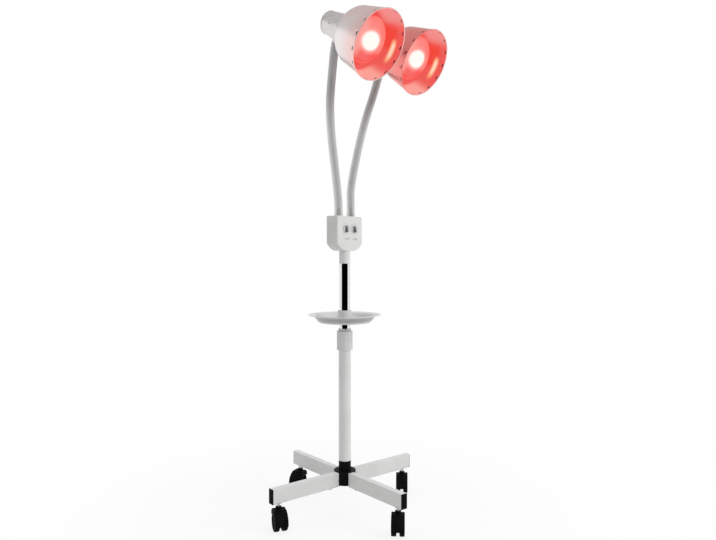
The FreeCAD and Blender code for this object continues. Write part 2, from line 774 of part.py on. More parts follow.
def place_head(shape, side):
    """Built along +Z from the rear end, with the underside towards -Y; tipped to face -Y."""
    copy = shape.copy()
    copy.rotate(V(0, 0, 0), X_AXIS, 90 + head_pitch)
    copy.translate(head_places[side])
    return copy


def head_pivot(side):
    return place_head(Part.Vertex(V(0, -pivot_drop, pivot_reach)), side).Point


def seat_cutter(centre, direction):
    """Clears a ball seat at a pivot and everything beyond its rim."""
    start = centre - direction * seat_depth
    beyond = cylinder(hose_radius * 2, start, centre + direction * hose_radius * 2)
    return Part.makeSphere(ball_seat_radius, centre).fuse(beyond)


def bent_rod(radius, start, corner, end):
    """Rod along two straight runs joined by a tangent arc at the corner."""
    first = (corner - start)
    second = (end - corner)
    turn = first.getAngle(second)
    run = bend_share * min(first.Length, second.Length)
    first.normalize()
    second.normalize()
    bend_start = corner - first * run
    bend_end = corner + second * run
    normal = first.cross(second)
    normal.normalize()
    inward = normal.cross(first)
    centre = bend_start + inward * (run / math.tan(turn / 2))
    disc = Part.Face(Part.Wire(Part.makeCircle(radius, bend_start, first)))
    bend = disc.revolve(centre, normal, math.degrees(turn))
    return joined([cylinder(radius, start, bend_start), bend, cylinder(radius, bend_end, end)])


def make_hose(start, corner, end):
    """One length of gooseneck: ball at the lower pivot, seat for the next ball at the upper one."""
    along = corner - start
    along.normalize()
    ahead = end - corner
    ahead.normalize()
    rod = joined([bent_rod(hose_radius, start, corner, end), Part.makeSphere(hose_radius, start)])
    rod = rod.cut(seat_cutter(end, ahead))
    bore = bent_rod(hose_bore, start, corner, end)
    mouth = cylinder(hose_bore, start - along * (hose_radius + 1), start)
    return rod.cut(bore).cut(mouth)


def make_arm_base(side):
    x = arm_places[side]
    nut = upright(arm_nut_radius, box_top + side_gap / 3, box_top + arm_nut, x)
    nut = nut.makeChamfer(arm_nut_bevel, [e for e in nut.Edges
                                          if abs(e.BoundBox.ZMin - box_top - arm_nut) < 0.01])
    collar = upright(arm_collar_radius, box_top + arm_nut, box_top + arm_collar_end, x)
    stub = upright(hose_radius, box_top + arm_collar_end, pivot_height, x)
    shank = upright(arm_shank_radius, box_top - arm_shank, box_top + side_gap, x)
    flange_top = box_top - box_wall - side_gap
    flange = upright(arm_flange_radius, flange_top - arm_flange, flange_top, x)
    base = joined([nut, collar, stub, shank, flange])
    base = base.cut(seat_cutter(V(x, 0, pivot_height), UP))
    return base.cut(upright(hose_bore - 2, box_top - arm_shank - 1, pivot_height, x))


def arm_lengths(side):
    """Start, bend point and end of each length of one gooseneck."""
    bends = arm_routes[side]
    pivots = [V(arm_places[side], 0, pivot_height)]
    for a, b in zip(bends, bends[1:]):
        pivots.append((a + b) * 0.5)
    pivots.append(head_pivot(side))
    return list(zip(pivots, bends, pivots[1:]))


for side in ("left", "right"):
    parts["arm_base_" + side] = make_arm_base(side)
    for place, length in zip(("lower", "middle", "upper"), arm_lengths(side)):
        parts["gooseneck_%s_%s" % (side, place)] = make_hose(*length)


# ---------------------------------------------------------------- lamp heads
holder_top = neck_wall + holder_floor + cap_length
shade_start = neck_length + neck_flange


def radial(radius, inner, outer):
    """Cylinder square to a head's axis, through its tilt pivot, by distances from the axis."""
    return cylinder(radius, V(0, -inner, pivot_reach), V(0, -outer, pivot_reach))


def neck_solid(inset):
    rear = neck_rear_radius - inset
    edge = neck_edge - inset
    end = neck_length + inset
    bulge = edge * (1 - math.sqrt(0.5))
    points = [(0, inset), (rear - edge, inset), (rear, inset + edge), (neck_front_radius - inset, end),
              (0, end), (0, inset)]
    return spun(chain(points, {1: (rear - bulge, inset + bulge)}))


def make_neck():
    """Conical neck, with a flange and a spigot for the shade and a boss for the hose fitting."""
    hollow = neck_solid(neck_wall)
    boss = radial(neck_boss_radius, neck_rear_radius / 2, neck_boss_reach)
    flange = upright(neck_flange_radius, neck_length, shade_start)
    spigot = upright(neck_spigot_radius, neck_length, shade_start + neck_spigot)
    neck = joined([neck_solid(0), boss, flange, spigot])
    bore = upright(neck_spigot_radius - neck_wall, neck_length, shade_start + neck_spigot + 1)
    slot = block(neck_vent_start, neck_vent_start + neck_vent_length, -neck_vent_width / 2,
                 neck_vent_width / 2, -1, neck_wall + 1)
    cable_way = radial(fitting_bore, neck_rear_radius / 2, neck_boss_reach + 1)
    return without(neck, [hollow.fuse(bore), cable_way] + ring_of(slot, neck_vents))


def make_fitting():
    """Ball that sits in the gooseneck's end, and the fitting that carries the neck."""
    shoulder = pivot_drop - fitting_start
    ball = Part.makeSphere(hose_radius, V(0, -pivot_drop, pivot_reach))
    stub = radial(hose_radius, shoulder, pivot_drop)
    body = radial(fitting_radius, neck_boss_reach, shoulder)
    bore = radial(fitting_bore, neck_boss_reach - 1, pivot_drop + hose_radius + 1)
    return joined([ball, stub, body]).cut(bore)


def make_shade():
    w = shade_wall
    inner = neck_spigot_radius + seat_fit
    corner = (shade_corner_radius, shade_start)
    shoulder = (shade_shoulder_radius, shade_start + shade_shoulder)
    run = math.hypot(shoulder[0] - corner[0], shade_shoulder)
    out_r = shade_shoulder / run
    out_z = -(shoulder[0] - corner[0]) / run

    def middle(inset):
        reach = shade_shoulder_bulge - inset
        half_way = shade_start + shade_shoulder / 2
        return ((corner[0] + shoulder[0]) / 2 + out_r * reach, half_way + out_z * reach)

    points = [(inner, shade_start), corner, shoulder, (shade_front_radius, head_length),
              (shade_front_radius - w, head_length), (shoulder[0] - w, shoulder[1]),
              (corner[0] - w / 2, shade_start + w), (inner, shade_start + w), (inner, shade_start)]
    shell = spun(chain(points, {1: middle(0), 5: middle(w)}))
    bead = pipe(shade_front_radius + shade_bead, shade_front_radius - w,
                head_length - shade_bead_depth, head_length)
    shell = shell.fuse(bead).removeSplitter()
    middle_z = head_length - shade_vent_back
    vent = block(shade_shoulder_radius, shade_front_radius + 5, -shade_vent_width / 2, shade_vent_width / 2,
                 middle_z - shade_vent_length / 2, middle_z + shade_vent_length / 2)
    return without(shell, ring_of(vent, shade_vents, shade_vent_first))


def make_holder():
    body = upright(holder_radius, neck_wall, holder_top)
    socket = upright(cap_radius + cap_clear, neck_wall + holder_floor, holder_top + 1)
    middle = (neck_wall + holder_top) / 2
    groove = pipe(holder_radius + 1, holder_radius - holder_groove,
                  middle - holder_groove, middle + holder_groove)
    return body.cut(socket).cut(groove)


def make_cap():
    low = neck_wall + holder_floor
    tip = upright(cap_radius * 0.4, low, low + 3)
    cone = Part.makeCone(cap_radius * 0.6, cap_radius, 3, V(0, 0, low + 2))
    return joined([tip, cone, upright(cap_radius, low + 5, holder_top)])


def bulb_outline(inset):
    """Outline of the bulb from its neck to the middle of its face, inset by a wall."""
    face = holder_top + bulb_length
    r = bulb_radius - inset
    neck = (cap_radius - inset, holder_top)
    waist = (bulb_waist_radius - inset, holder_top + bulb_waist)
    widest = (r, face - bulb_edge)
    rim = (bulb_face_radius - inset, face - bulb_face_rise - inset)
    dome_radius = (rim[0] ** 2 + bulb_face_rise ** 2) / (2 * bulb_face_rise)
    halfway = math.asin(rim[0] / dome_radius) / 2
    dome = (dome_radius * math.sin(halfway), face - inset - dome_radius * (1 - math.cos(halfway)))
    lean = 1 - math.sqrt(0.5)
    shoulder = (r - (r - rim[0]) * lean, rim[1] - (bulb_edge - bulb_face_rise) * lean)
    side = Part.BezierCurve()
    side.setPoles([V(waist[0], 0, waist[1]), V(r * 0.7, 0, holder_top + bulb_length / 2),
                   V(widest[0], 0, widest[1])])
    centre = (0, face - inset)
    outline = [line(neck, waist), side.toShape(), arc(widest, shoulder, rim), arc(rim, dome, centre)]
    return neck, centre, outline


def make_bulb():
    """Glass envelope, open towards the cap."""
    outer_neck, outer_centre, outside = bulb_outline(0)
    inner_neck, inner_centre, inside = bulb_outline(glass_wall)
    return spun(outside + [line(outer_centre, inner_centre)] + inside[::-1] + [line(inner_neck, outer_neck)])


for side in ("left", "right"):
    parts["head_fitting_" + side] = place_head(make_fitting(), side)
    parts["head_neck_" + side] = place_head(make_neck(), side)
    parts["head_shade_" + side] = place_head(make_shade(), side)
    parts["lamp_holder_" + side] = place_head(make_holder(), side)
    parts["bulb_cap_" + side] = place_head(make_cap(), side)
    parts["bulb_glass_" + side] = place_head(make_bulb(), side)


os.makedirs("parts", exist_ok=True)
for node, shape in parts.items():
    shape.exportStep("parts/%s.step" % node)
    if not shape.isValid():
        print("invalid", node)
print(len(parts), "nodes")
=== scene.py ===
import json
import math
import bpy
from mathutils import Matrix, Vector


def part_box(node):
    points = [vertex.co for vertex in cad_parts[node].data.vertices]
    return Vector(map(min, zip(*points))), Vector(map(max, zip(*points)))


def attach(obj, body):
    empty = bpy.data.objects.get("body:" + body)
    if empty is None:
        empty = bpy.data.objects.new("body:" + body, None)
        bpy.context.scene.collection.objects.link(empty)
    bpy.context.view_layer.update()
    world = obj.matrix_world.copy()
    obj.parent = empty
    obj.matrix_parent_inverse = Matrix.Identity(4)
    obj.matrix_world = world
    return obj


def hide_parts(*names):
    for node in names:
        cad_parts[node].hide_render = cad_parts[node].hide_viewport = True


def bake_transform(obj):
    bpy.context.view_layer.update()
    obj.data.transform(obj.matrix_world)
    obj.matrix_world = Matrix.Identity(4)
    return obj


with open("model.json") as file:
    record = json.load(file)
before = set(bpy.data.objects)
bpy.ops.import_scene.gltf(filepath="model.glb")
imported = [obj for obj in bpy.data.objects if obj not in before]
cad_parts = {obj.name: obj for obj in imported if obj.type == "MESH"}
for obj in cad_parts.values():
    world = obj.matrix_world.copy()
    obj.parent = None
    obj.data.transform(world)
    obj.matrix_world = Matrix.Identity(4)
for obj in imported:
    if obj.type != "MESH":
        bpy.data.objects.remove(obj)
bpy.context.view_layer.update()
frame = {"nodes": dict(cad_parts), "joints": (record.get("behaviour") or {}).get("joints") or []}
nodes = frame["nodes"]
joints = {joint["name"]: joint for joint in frame["joints"]}
mm = 0.001
sides = ["left", "right"]
casterNames = ["front", "right", "rear", "left"]


# ---- studio ----
studio = {
    "cameraPlace": (-1.440, -1.208, 0.7236),
    "cameraHeading": 51.16,     # degrees from +Y towards +X
    "cameraDip": 1.22,
    "lens": 33.17,
    "sensor": 36,
    "ambient": 0.60,            # even light on every side
    "floorSize": 30.0,
    "floorWhite": (0.86, 0.99), # how far the floor is plain white to the eye, by the lamp and far off
    "floorPool": (0.30, 0.95),  # distances between which it whitens
    "lamps": [
        ("keyLamp", (0.9, -2.5, 1.9), (0, 0, 0.7), 1.5, 34),
        ("topLamp", (0.3, 0.3, 3.2), (0, 0, 0.5), 1.8, 13),
    ],
    "cards": [      # name, middle, facing, width, height, grey
        ("cameraSideCard", (-2.05, -1.72, 0.66), (1.44, 1.208, 0), 11.0, 1.9, 0.0),
        ("ceilingCard", (0.0, 0.0, 3.0), (0, 0, -1), 6.5, 6.5, 0.60),
    ],
}


def clearSelection():
    if bpy.context.mode != "OBJECT":
        bpy.ops.object.mode_set(mode="OBJECT")
    bpy.ops.object.select_all(action="DESELECT")


def makeCamera(s):
    clearSelection()
    bpy.ops.object.camera_add(location=s["cameraPlace"])
    camera = bpy.context.object
    camera.name = "frontLeftCamera"
    heading = math.radians(s["cameraHeading"])
    dip = math.radians(s["cameraDip"])
    ahead = Vector((math.sin(heading) * math.cos(dip), math.cos(heading) * math.cos(dip), -math.sin(dip)))
    camera.rotation_euler = ahead.to_track_quat("-Z", "Y").to_euler()
    camera.data.lens = s["lens"]
    camera.data.sensor_width = s["sensor"]
    bpy.context.scene.camera = camera


def makeLamps(s):
    for name, place, target, size, power in s["lamps"]:
        bpy.ops.object.light_add(type="AREA", location=place)
        lamp = bpy.context.object
        lamp.name = name
        lamp.data.size = size
        lamp.data.energy = power
        lamp.visible_glossy = False
        lamp.rotation_euler = (Vector(target) - Vector(place)).to_track_quat("-Z", "Y").to_euler()


# ---- shader helpers ----
class Wire:
    def __init__(self, paint, socket):
        self.paint = paint
        self.socket = socket

    def maths(self, operation, first, second=0.0):
        return self.paint.node("Math", {"operation": operation}, {0: first, 1: second})

    def __add__(self, other):
        return self.maths("ADD", self, other)

    __radd__ = __add__

    def __sub__(self, other):
        return self.maths("SUBTRACT", self, other)

    def __mul__(self, other):
        return self.maths("MULTIPLY", self, other)

    def __truediv__(self, other):
        return self.maths("DIVIDE", self, other)

    def __pow__(self, other):
        return self.maths("POWER", self, other)

    def most(self, other):
        return self.maths("MAXIMUM", self, other)

    def step(self, low, high):
        settings = {"interpolation_type": "SMOOTHSTEP"}
        return self.paint.node("MapRange", settings, {"Value": self, "From Min": low, "From Max": high})


class Paint:
    def __init__(self, name, world=None):
        self.material = world or bpy.data.materials.new(name)
        self.material.use_nodes = True
        self.tree = self.material.node_tree
        self.shader = self.tree.nodes["Background" if world else "Principled BSDF"]

    def node(self, kind, settings=None, sockets=None, output=0):
        made = self.tree.nodes.new("ShaderNode" + kind)
        for key, value in (settings or {}).items():
            setattr(made, key, value)
        for key, value in (sockets or {}).items():
            self.feed(made.inputs[key], value)
        return Wire(self, made.outputs[output])

    def feed(self, socket, value):
        if isinstance(value, Wire):
            self.tree.links.new(value.socket, socket)
        elif socket.type == "RGBA":
            socket.default_value = (*value, 1)
        else:
            socket.default_value = value

    def put(self, **values):
        for key, value in values.items():
            self.feed(self.shader.inputs[key.replace("_", " ")], value)

    def place(self):
        return self.node("TexCoord", output=3)

    def stretched(self, scale):
        return self.node("Mapping", None, {"Vector": self.place(), "Scale": scale})

    def ownPlace(self):     # place within a lamp head, kept in the mesh before the head is tipped
        return self.node("Attribute", {"attribute_name": "headPlace"}, output=1)

    def parts(self, vector):
        made = self.tree.nodes.new("ShaderNodeSeparateXYZ")
        self.feed(made.inputs[0], vector)
        return [Wire(self, made.outputs[i]) for i in range(3)]

    def noise(self, scale, detail=2.0, vector=None):
        sockets = {"Vector": vector or self.place(), "Scale": scale, "Detail": detail}
        return self.node("TexNoise", None, sockets)

    def blend(self, share, first, second):
        made = self.tree.nodes.new("ShaderNodeMix")
        made.data_type = "RGBA"
        self.feed(made.inputs[0], share)
        self.feed(made.inputs[6], first)
        self.feed(made.inputs[7], second)
        return Wire(self, made.outputs[2])

    def bump(self, height, strength, distance):
        sockets = {"Height": height, "Strength": strength, "Distance": distance}
        self.put(Normal=self.node("Bump", None, sockets))

    def seenRays(self):     # 1 for what the camera, gloss and glass see, 0 for light that falls on things
        rays = self.tree.nodes.new("ShaderNodeLightPath")
        camera, glossy, through = [Wire(self, rays.outputs[key]) for key in
                                   ("Is Camera Ray", "Is Glossy Ray", "Is Transmission Ray")]
        return camera.most(glossy).most(through)


# ---- finishes ----
finishes = {
    "whiteEnamel": {"colour": (0.73, 0.73, 0.722), "shade": (0.66, 0.66, 0.652), "rough": 0.34, "grain": 900,
                    "depth": 0.00006, "patch": 9, "coat": 0.25},
    "whitePlastic": {"colour": (0.70, 0.70, 0.69), "shade": (0.64, 0.64, 0.63), "rough": 0.42, "grain": 2200,
                     "depth": 0.00005, "patch": 14, "coat": 0.0},
    "trayPlastic": {"colour": (0.70, 0.70, 0.70), "shade": (0.63, 0.63, 0.635), "rough": 0.3, "grain": 1500,
                    "depth": 0.00003, "patch": 11, "coat": 0.15,
                    # painted shade on the outer wall under the rim's flange
                    "grime": {"foot": 0.073, "footHeight": 0.534, "slope": 0.8056, "skin": 0.0016,
                              "rise": (0.536, 0.542), "fall": (0.5535, 0.550), "share": 0.75,
                              "tone": (0.28, 0.28, 0.28)}},
    "sleevePlastic": {"colour": (0.64, 0.64, 0.63), "shade": (0.57, 0.57, 0.56), "rough": 0.5, "grain": 1800,
                      "depth": 0.00005, "patch": 20, "coat": 0.0},
    "collarPlastic": {"colour": (0.67, 0.67, 0.665), "shade": (0.60, 0.60, 0.60), "rough": 0.45,
                      "grain": 1800, "depth": 0.00006, "patch": 25, "coat": 0.0},
    "knobPlastic": {"colour": (0.62, 0.62, 0.61), "shade": (0.55, 0.55, 0.545), "rough": 0.45, "grain": 2600,
                    "depth": 0.00004, "patch": 40, "coat": 0.0},
    "gripPlastic": {"colour": (0.085, 0.085, 0.088), "shade": (0.055, 0.055, 0.058), "rough": 0.4,
                    "grain": 2600, "depth": 0.00005, "patch": 40, "coat": 0.0},
    "blackPlastic": {"colour": (0.005, 0.005, 0.0055), "shade": (0.010, 0.010, 0.0105), "rough": 0.46,
                     "grain": 1900, "depth": 0.00008, "patch": 22, "coat": 0.0, "gloss": 0.02},
    "blackEnamel": {"colour": (0.004, 0.004, 0.0045), "shade": (0.008, 0.008, 0.0085), "rough": 0.36,
                    "grain": 1300, "depth": 0.0001, "patch": 16, "coat": 0.0, "gloss": 0.03},
    "ventGauze": {"colour": (0.030, 0.026, 0.026), "shade": (0.055, 0.045, 0.045), "rough": 0.6,
                  "grain": 3200, "depth": 0.0001, "patch": 60, "coat": 0.0, "gloss": 0.2},
    "inkGrey": {"colour": (0.20, 0.20, 0.21), "shade": (0.15, 0.15, 0.16), "rough": 0.6, "grain": 2600,
                "depth": 0.00002, "patch": 60, "coat": 0.0},
    "ceramicWhite": {"colour": (0.72, 0.70, 0.66), "shade": (0.62, 0.60, 0.56), "rough": 0.2, "grain": 700,
                     "depth": 0.00004, "patch": 30, "coat": 0.4},
    "boardGreen": {"colour": (0.03, 0.16, 0.06), "shade": (0.02, 0.11, 0.04), "rough": 0.35, "grain": 600,
                   "depth": 0.00004, "patch": 50, "coat": 0.3},
}
metals = {
    "chromeTube": {"colour": (0.82, 0.83, 0.84), "rough": 0.03, "spread": 0.02, "lines": (40, 40, 900),
                   "depth": 0.000004},
    "fittingMetal": {"colour": (0.80, 0.795, 0.78), "rough": 0.46, "spread": 0.12, "lines": (60, 60, 1500),
                     "depth": 0.00003},
    "hoseSteel": {"colour": (0.80, 0.80, 0.80), "rough": 0.5, "spread": 0.12, "lines": (500, 500, 500),
                  # painted shadow of the lamp heads on the upper hose
                  "depth": 0.00003, "soot": (1.06, 1.20)},
    "neckSteel": {"colour": (0.80, 0.765, 0.75), "rough": 0.32, "spread": 0.1, "lines": (500, 30, 30),
                  "depth": 0.00002},
    "screwNickel": {"colour": (0.97, 0.96, 0.95), "rough": 0.62, "spread": 0.1, "lines": (700, 700, 700),
                    "depth": 0.00002},
    "boltSteel": {"colour": (0.55, 0.55, 0.56), "rough": 0.28, "spread": 0.2, "lines": (700, 700, 700),
                  "depth": 0.00003},
    "capMetal": {"colour": (0.66, 0.58, 0.38), "rough": 0.3, "spread": 0.2, "lines": (300, 300, 300),
                 "depth": 0.00003},
    "controlMetal": {"colour": (0.50, 0.50, 0.48), "rough": 0.4, "spread": 0.15, "lines": (400, 400, 400),
                     "depth": 0.00003},
}
glow = {
    "salmon": (0.88, 0.19, 0.165),
    "paleRim": (0.84, 0.285, 0.275),
    "palePink": (0.84, 0.31, 0.28),
    "lowerPink": (0.92, 0.36, 0.31),
    "deepRed": (0.82, 0.085, 0.075),
    "orangeRed": (0.86, 0.062, 0.040),
    "amber": (0.98, 0.46, 0.24),
    "hot": (1.0, 0.97, 0.90),
    "reflectorStrength": 0.94, "bulbStrength": 0.96,
    "spotMiddle": (-0.0072, 0.0008), "spotWide": 0.78, "spotTall": 1.03,
    "spotCore": 0.0200, "spotEdge": 0.0300,
    "crescentAlong": 0.174, "crescentHalf": 0.0125,
}


def mouldedFinish(name):
    f = finishes[name]
    paint = Paint(name)
    patches = paint.noise(f["patch"], 3).step(0.42, 0.68)
    grain = paint.noise(f["grain"], 2)
    tone = paint.blend(patches * 0.8 + grain * 0.2, f["colour"], f["shade"])
    if "grime" in f:    # painted shade: a darker band round a sloping wall under the rim's flange, on its outer face only
        g = f["grime"]
        x, y, height = paint.parts(paint.place())
        reach = (x * x + y * y) ** 0.5 - (height - g["footHeight"]) * g["slope"]
        outside = reach.step(g["foot"] - g["skin"], g["foot"] - g["skin"] / 2)
        band = height.step(*g["rise"]) * height.step(*g["fall"])
        tone = paint.blend(outside * band * g["share"], tone, g["tone"])
    paint.put(Base_Color=tone)
    paint.put(Roughness=f["rough"] + patches * 0.08 + grain * 0.05)
    paint.put(Coat_Weight=f["coat"], Coat_Roughness=0.12, Specular_IOR_Level=f.get("gloss", 0.5))
    paint.bump(grain, 0.35, f["depth"])
    return paint.material


def metalFinish(name):
    f = metals[name]
    paint = Paint(name)
    lines = paint.noise(1.0, 3, paint.stretched(f["lines"]))
    smudges = paint.noise(18, 2).step(0.45, 0.75)
    darker = tuple(c * 0.88 for c in f["colour"])
    tone = paint.blend(lines.step(0.35, 0.7), darker, f["colour"])
    if "soot" in f:     # low and high limit of the height over which the metal is darkened, a painted shadow of the lamp heads
        tone = paint.blend(paint.parts(paint.place())[2].step(*f["soot"]) * 0.7, tone, (0.46, 0.45, 0.45))
    paint.put(Base_Color=tone, Metallic=1.0)
    paint.put(Roughness=f["rough"] + smudges * f["spread"] * 0.6 + lines * f["spread"] * 0.4)
    paint.bump(lines, 0.3, f["depth"])
    return paint.material


def spunFinish(name, lit):
    # lit: how strongly the other lamp's red light falls on the shade's left side
    paint = Paint(name)
    x, y, along = paint.parts(paint.ownPlace())
    radius = (x * x + y * y) ** 0.5
    rings = paint.noise(1.0, 2, paint.node("CombineXYZ", None, {2: along * 900}))
    smudges = paint.noise(14, 3).step(0.4, 0.7)
    # painted red glow of the lamp on the outside: pinker towards the rim and on the top
    redGlowShare = (along.step(0.125, 0.200) * 0.9).most((y / radius).step(-0.1, 0.8) * 0.6)
    silver = paint.blend(redGlowShare, (0.90, 0.85, 0.84), (0.95, 0.62, 0.59))
    if lit:
        red = (x / radius).step(0.3, -0.6) * along.step(0.07, 0.16) * lit
        silver = paint.blend(red, silver, (1.0, 0.18, 0.15))
    paint.put(Base_Color=paint.blend(rings.step(0.3, 0.75) * 0.25, silver, (0.92, 0.88, 0.87)), Metallic=1.0)
    paint.put(Roughness=0.30 + smudges * 0.08 + rings * 0.06)
    paint.bump(rings, 0.4, 0.00004)
    return paint.material


def reflectorFinish(name):
    # right is +x of the head, top is +y; the glow is the lit bulb's mirror image in the spun wall
    g = glow
    paint = Paint(name)
    x, y, along = paint.parts(paint.ownPlace())
    radius = (x * x + y * y) ** 0.5
    toRight = x / radius
    toTop = y / radius
    blur = paint.noise(40, 2)
    colour = paint.blend(along.step(0.120, 0.150), g["deepRed"], g["salmon"])
    colour = paint.blend(toTop.step(0.55, 0.95) * along.step(0.12, 0.16) * 0.9, colour, g["paleRim"])
    band = toTop.step(-0.35, -0.7) * along.step(0.13, 0.14) * along.step(0.156, 0.142)
    colour = paint.blend(band * 0.8, colour, g["deepRed"])
    colour = paint.blend(toTop.step(-0.40, -0.85) * along.step(0.140, 0.160), colour, g["lowerPink"])
    right = toRight.step(0.55, 0.85) * along.step(0.125, 0.142)
    colour = paint.blend(right * 0.85, colour, g["deepRed"])
    patch = toRight.step(0.66, 0.86) * toTop.step(-0.12, 0.10)
    patch = patch * along.step(0.128, 0.145) * along.step(0.186, 0.172)
    colour = paint.blend(patch, colour, g["orangeRed"])
    off = paint.node("Math", {"operation": "ABSOLUTE"}, {0: along - g["crescentAlong"]})
    reach = toTop.step(-0.56, -0.12) * toTop.step(0.42, 0.10) * toRight.step(0.2, 0.5)
    crescent = off.step(g["crescentHalf"], 0.0) * reach
    colour = paint.blend(crescent.step(0.0, 0.7), colour, g["amber"])
    colour = paint.blend(crescent.step(0.6, 1.0) * 0.5, colour, g["hot"])
    paint.put(Base_Color=paint.blend(blur, (0.08, 0.02, 0.02), (0.12, 0.03, 0.03)), Metallic=0.2)
    paint.put(Roughness=0.52 + blur * 0.1, Specular_IOR_Level=0.15)
    paint.put(Emission_Color=colour, Emission_Strength=g["reflectorStrength"])
    return paint.material


def bulbFinish(name):
    g = glow
    paint = Paint(name)
    x, y, along = paint.parts(paint.ownPlace())
    blur = paint.noise(60, 2)
    front = along.step(0.157, 0.163)
    colour = paint.blend(front, g["deepRed"], g["salmon"])
    colour = paint.blend(x.step(-0.016, -0.046) * front, colour, g["palePink"])
    colour = paint.blend(y.step(-0.018, -0.030) * x.step(-0.045, -0.02) * front, colour, g["deepRed"])
    wide = (x - g["spotMiddle"][0]) * g["spotWide"]
    tall = (y - g["spotMiddle"][1]) * g["spotTall"]
    reach = (wide * wide + tall * tall) ** 0.5
    colour = paint.blend(reach.step(0.040, 0.028) * front * 0.55, colour, g["lowerPink"])
    colour = paint.blend(reach.step(g["spotEdge"], g["spotCore"]) * front, colour, g["hot"])
    paint.put(Base_Color=paint.blend(blur, (0.09, 0.01, 0.01), (0.14, 0.02, 0.02)))
    paint.put(Roughness=0.30 + blur * 0.1, Coat_Weight=0.12, Coat_Roughness=0.2)
    paint.put(Emission_Color=colour, Emission_Strength=g["bulbStrength"])
    return paint.material


materials = {name: mouldedFinish(name) for name in finishes}
materials.update({name: metalFinish(name) for name in metals})
materials["spunSilver_left"] = spunFinish("spunSilver_left", 0.0)
materials["spunSilver_right"] = spunFinish("spunSilver_right", 0.9)
materials["litReflector"] = reflectorFinish("litReflector")
materials["litBulb"] = bulbFinish("litBulb")
print("finishes ready")


# ---- modelling helpers ----
def openPiece(name):
    obj = bpy.context.object
    obj.name = name
    obj.data.name = name
    bpy.ops.object.mode_set(mode="EDIT")
    bpy.ops.mesh.select_mode(type="VERT")
    bpy.ops.mesh.select_all(action="SELECT")
    return obj


def softened(corners, steps=4):
    # a corner is (across, along) or (across, along, rounding), all in millimetres
    path = []
    for i, corner in enumerate(corners):
        here = Vector(corner[:2])
        if len(corner) < 3:
            path.append(here)
            continue
        toBefore = (Vector(corners[i - 1][:2]) - here).normalized()
        toAfter = (Vector(corners[(i + 1) % len(corners)][:2]) - here).normalized()
        half = toBefore.angle(toAfter) / 2
        centre = here + (toBefore + toAfter).normalized() * corner[2] / math.sin(half)
        first = here + toBefore * corner[2] / math.tan(half) - centre
        last = here + toAfter * corner[2] / math.tan(half) - centre
        turn = first.angle_signed(last)
        for k in range(steps + 1):
            path.append(centre + Matrix.Rotation(-turn * k / steps, 2) @ first)
    return path


def bowed(start, end, bulge, steps):
    # points of a shallow arc between two points, the two left out
    chord = Vector(end) - Vector(start)
    outward = Vector((chord.y, -chord.x)).normalized()
    path = []
    for k in range(1, steps):
        share = k / steps
        path.append(tuple(Vector(start) + chord * share + outward * bulge * 4 * share * (1 - share)))
    return path


def outline(name, points):
    clearSelection()
    bpy.ops.mesh.primitive_plane_add(size=0.001)
    obj = openPiece(name)
    bpy.ops.mesh.merge(type="CENTER")
    bpy.ops.transform.translate(value=points[0])
    for before, after in zip(points, points[1:]):
        bpy.ops.mesh.extrude_vertices_move(TRANSFORM_OT_translate={"value": after - before})
    bpy.ops.mesh.select_all(action="SELECT")
    return obj


def lathe(name, corners, turns=48, closed=True):
    points = [Vector((p.x * mm, 0, p.y * mm)) for p in softened(corners)]
    obj = outline(name, points + points[:1] if closed else points)
    bpy.ops.mesh.spin(steps=turns, angle=math.tau, center=(0, 0, 0), axis=(0, 0, 1))
    bpy.ops.mesh.select_all(action="SELECT")
    bpy.ops.mesh.remove_doubles(threshold=0.00001)
    bpy.ops.mesh.normals_make_consistent(inside=False)
    bpy.ops.object.mode_set(mode="OBJECT")
    return obj


def pick(obj):
    clearSelection()
    obj.select_set(True)
    bpy.context.view_layer.objects.active = obj


def settle(obj, place):
    pick(obj)
    obj.matrix_world = place
    bpy.ops.object.transform_apply(location=True, rotation=True, scale=True)


def chooseFaces(obj, wanted):
    pick(obj)
    bpy.ops.object.mode_set(mode="EDIT")
    bpy.ops.mesh.select_mode(type="FACE")
    bpy.ops.mesh.select_all(action="DESELECT")
    bpy.ops.object.mode_set(mode="OBJECT")
    for face in obj.data.polygons:
        face.select = bool(wanted(face))
    bpy.ops.object.mode_set(mode="EDIT")


def applyModifier(obj, kind, **settings):
    pick(obj)
    modifier = obj.modifiers.new(kind.title(), kind)
    for key, value in settings.items():
        setattr(modifier, key, value)
    bpy.ops.object.modifier_apply(modifier=modifier.name)


def joined(name, pieces):
    clearSelection()
    for piece in pieces:
        piece.select_set(True)
    bpy.context.view_layer.objects.active = pieces[0]
    bpy.ops.object.join()
    pieces[0].name = name
    pieces[0].data.name = name
    return pieces[0]


def dress(obj, *names, angle=35):
    pick(obj)
    bpy.ops.object.shade_smooth_by_angle(angle=math.radians(angle))
    obj.data.materials.clear()
    for name in names:
        obj.data.materials.append(materials[name])


def keepHeadPlace(obj):
    spots = obj.data.attributes.new("headPlace", "FLOAT_VECTOR", "POINT")
    for spot, vertex in zip(spots.data, obj.data.vertices):
        spot.vector = vertex.co


def turnedTo(place, direction):
    return Matrix.Translation(place) @ Vector(direction).to_track_quat("Z", "Y").to_matrix().to_4x4()


def standsFor(obj, body, slot, *replaced):
    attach(obj, body)
    if replaced:
        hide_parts(*replaced)


makeCamera(studio)
makeLamps(studio)


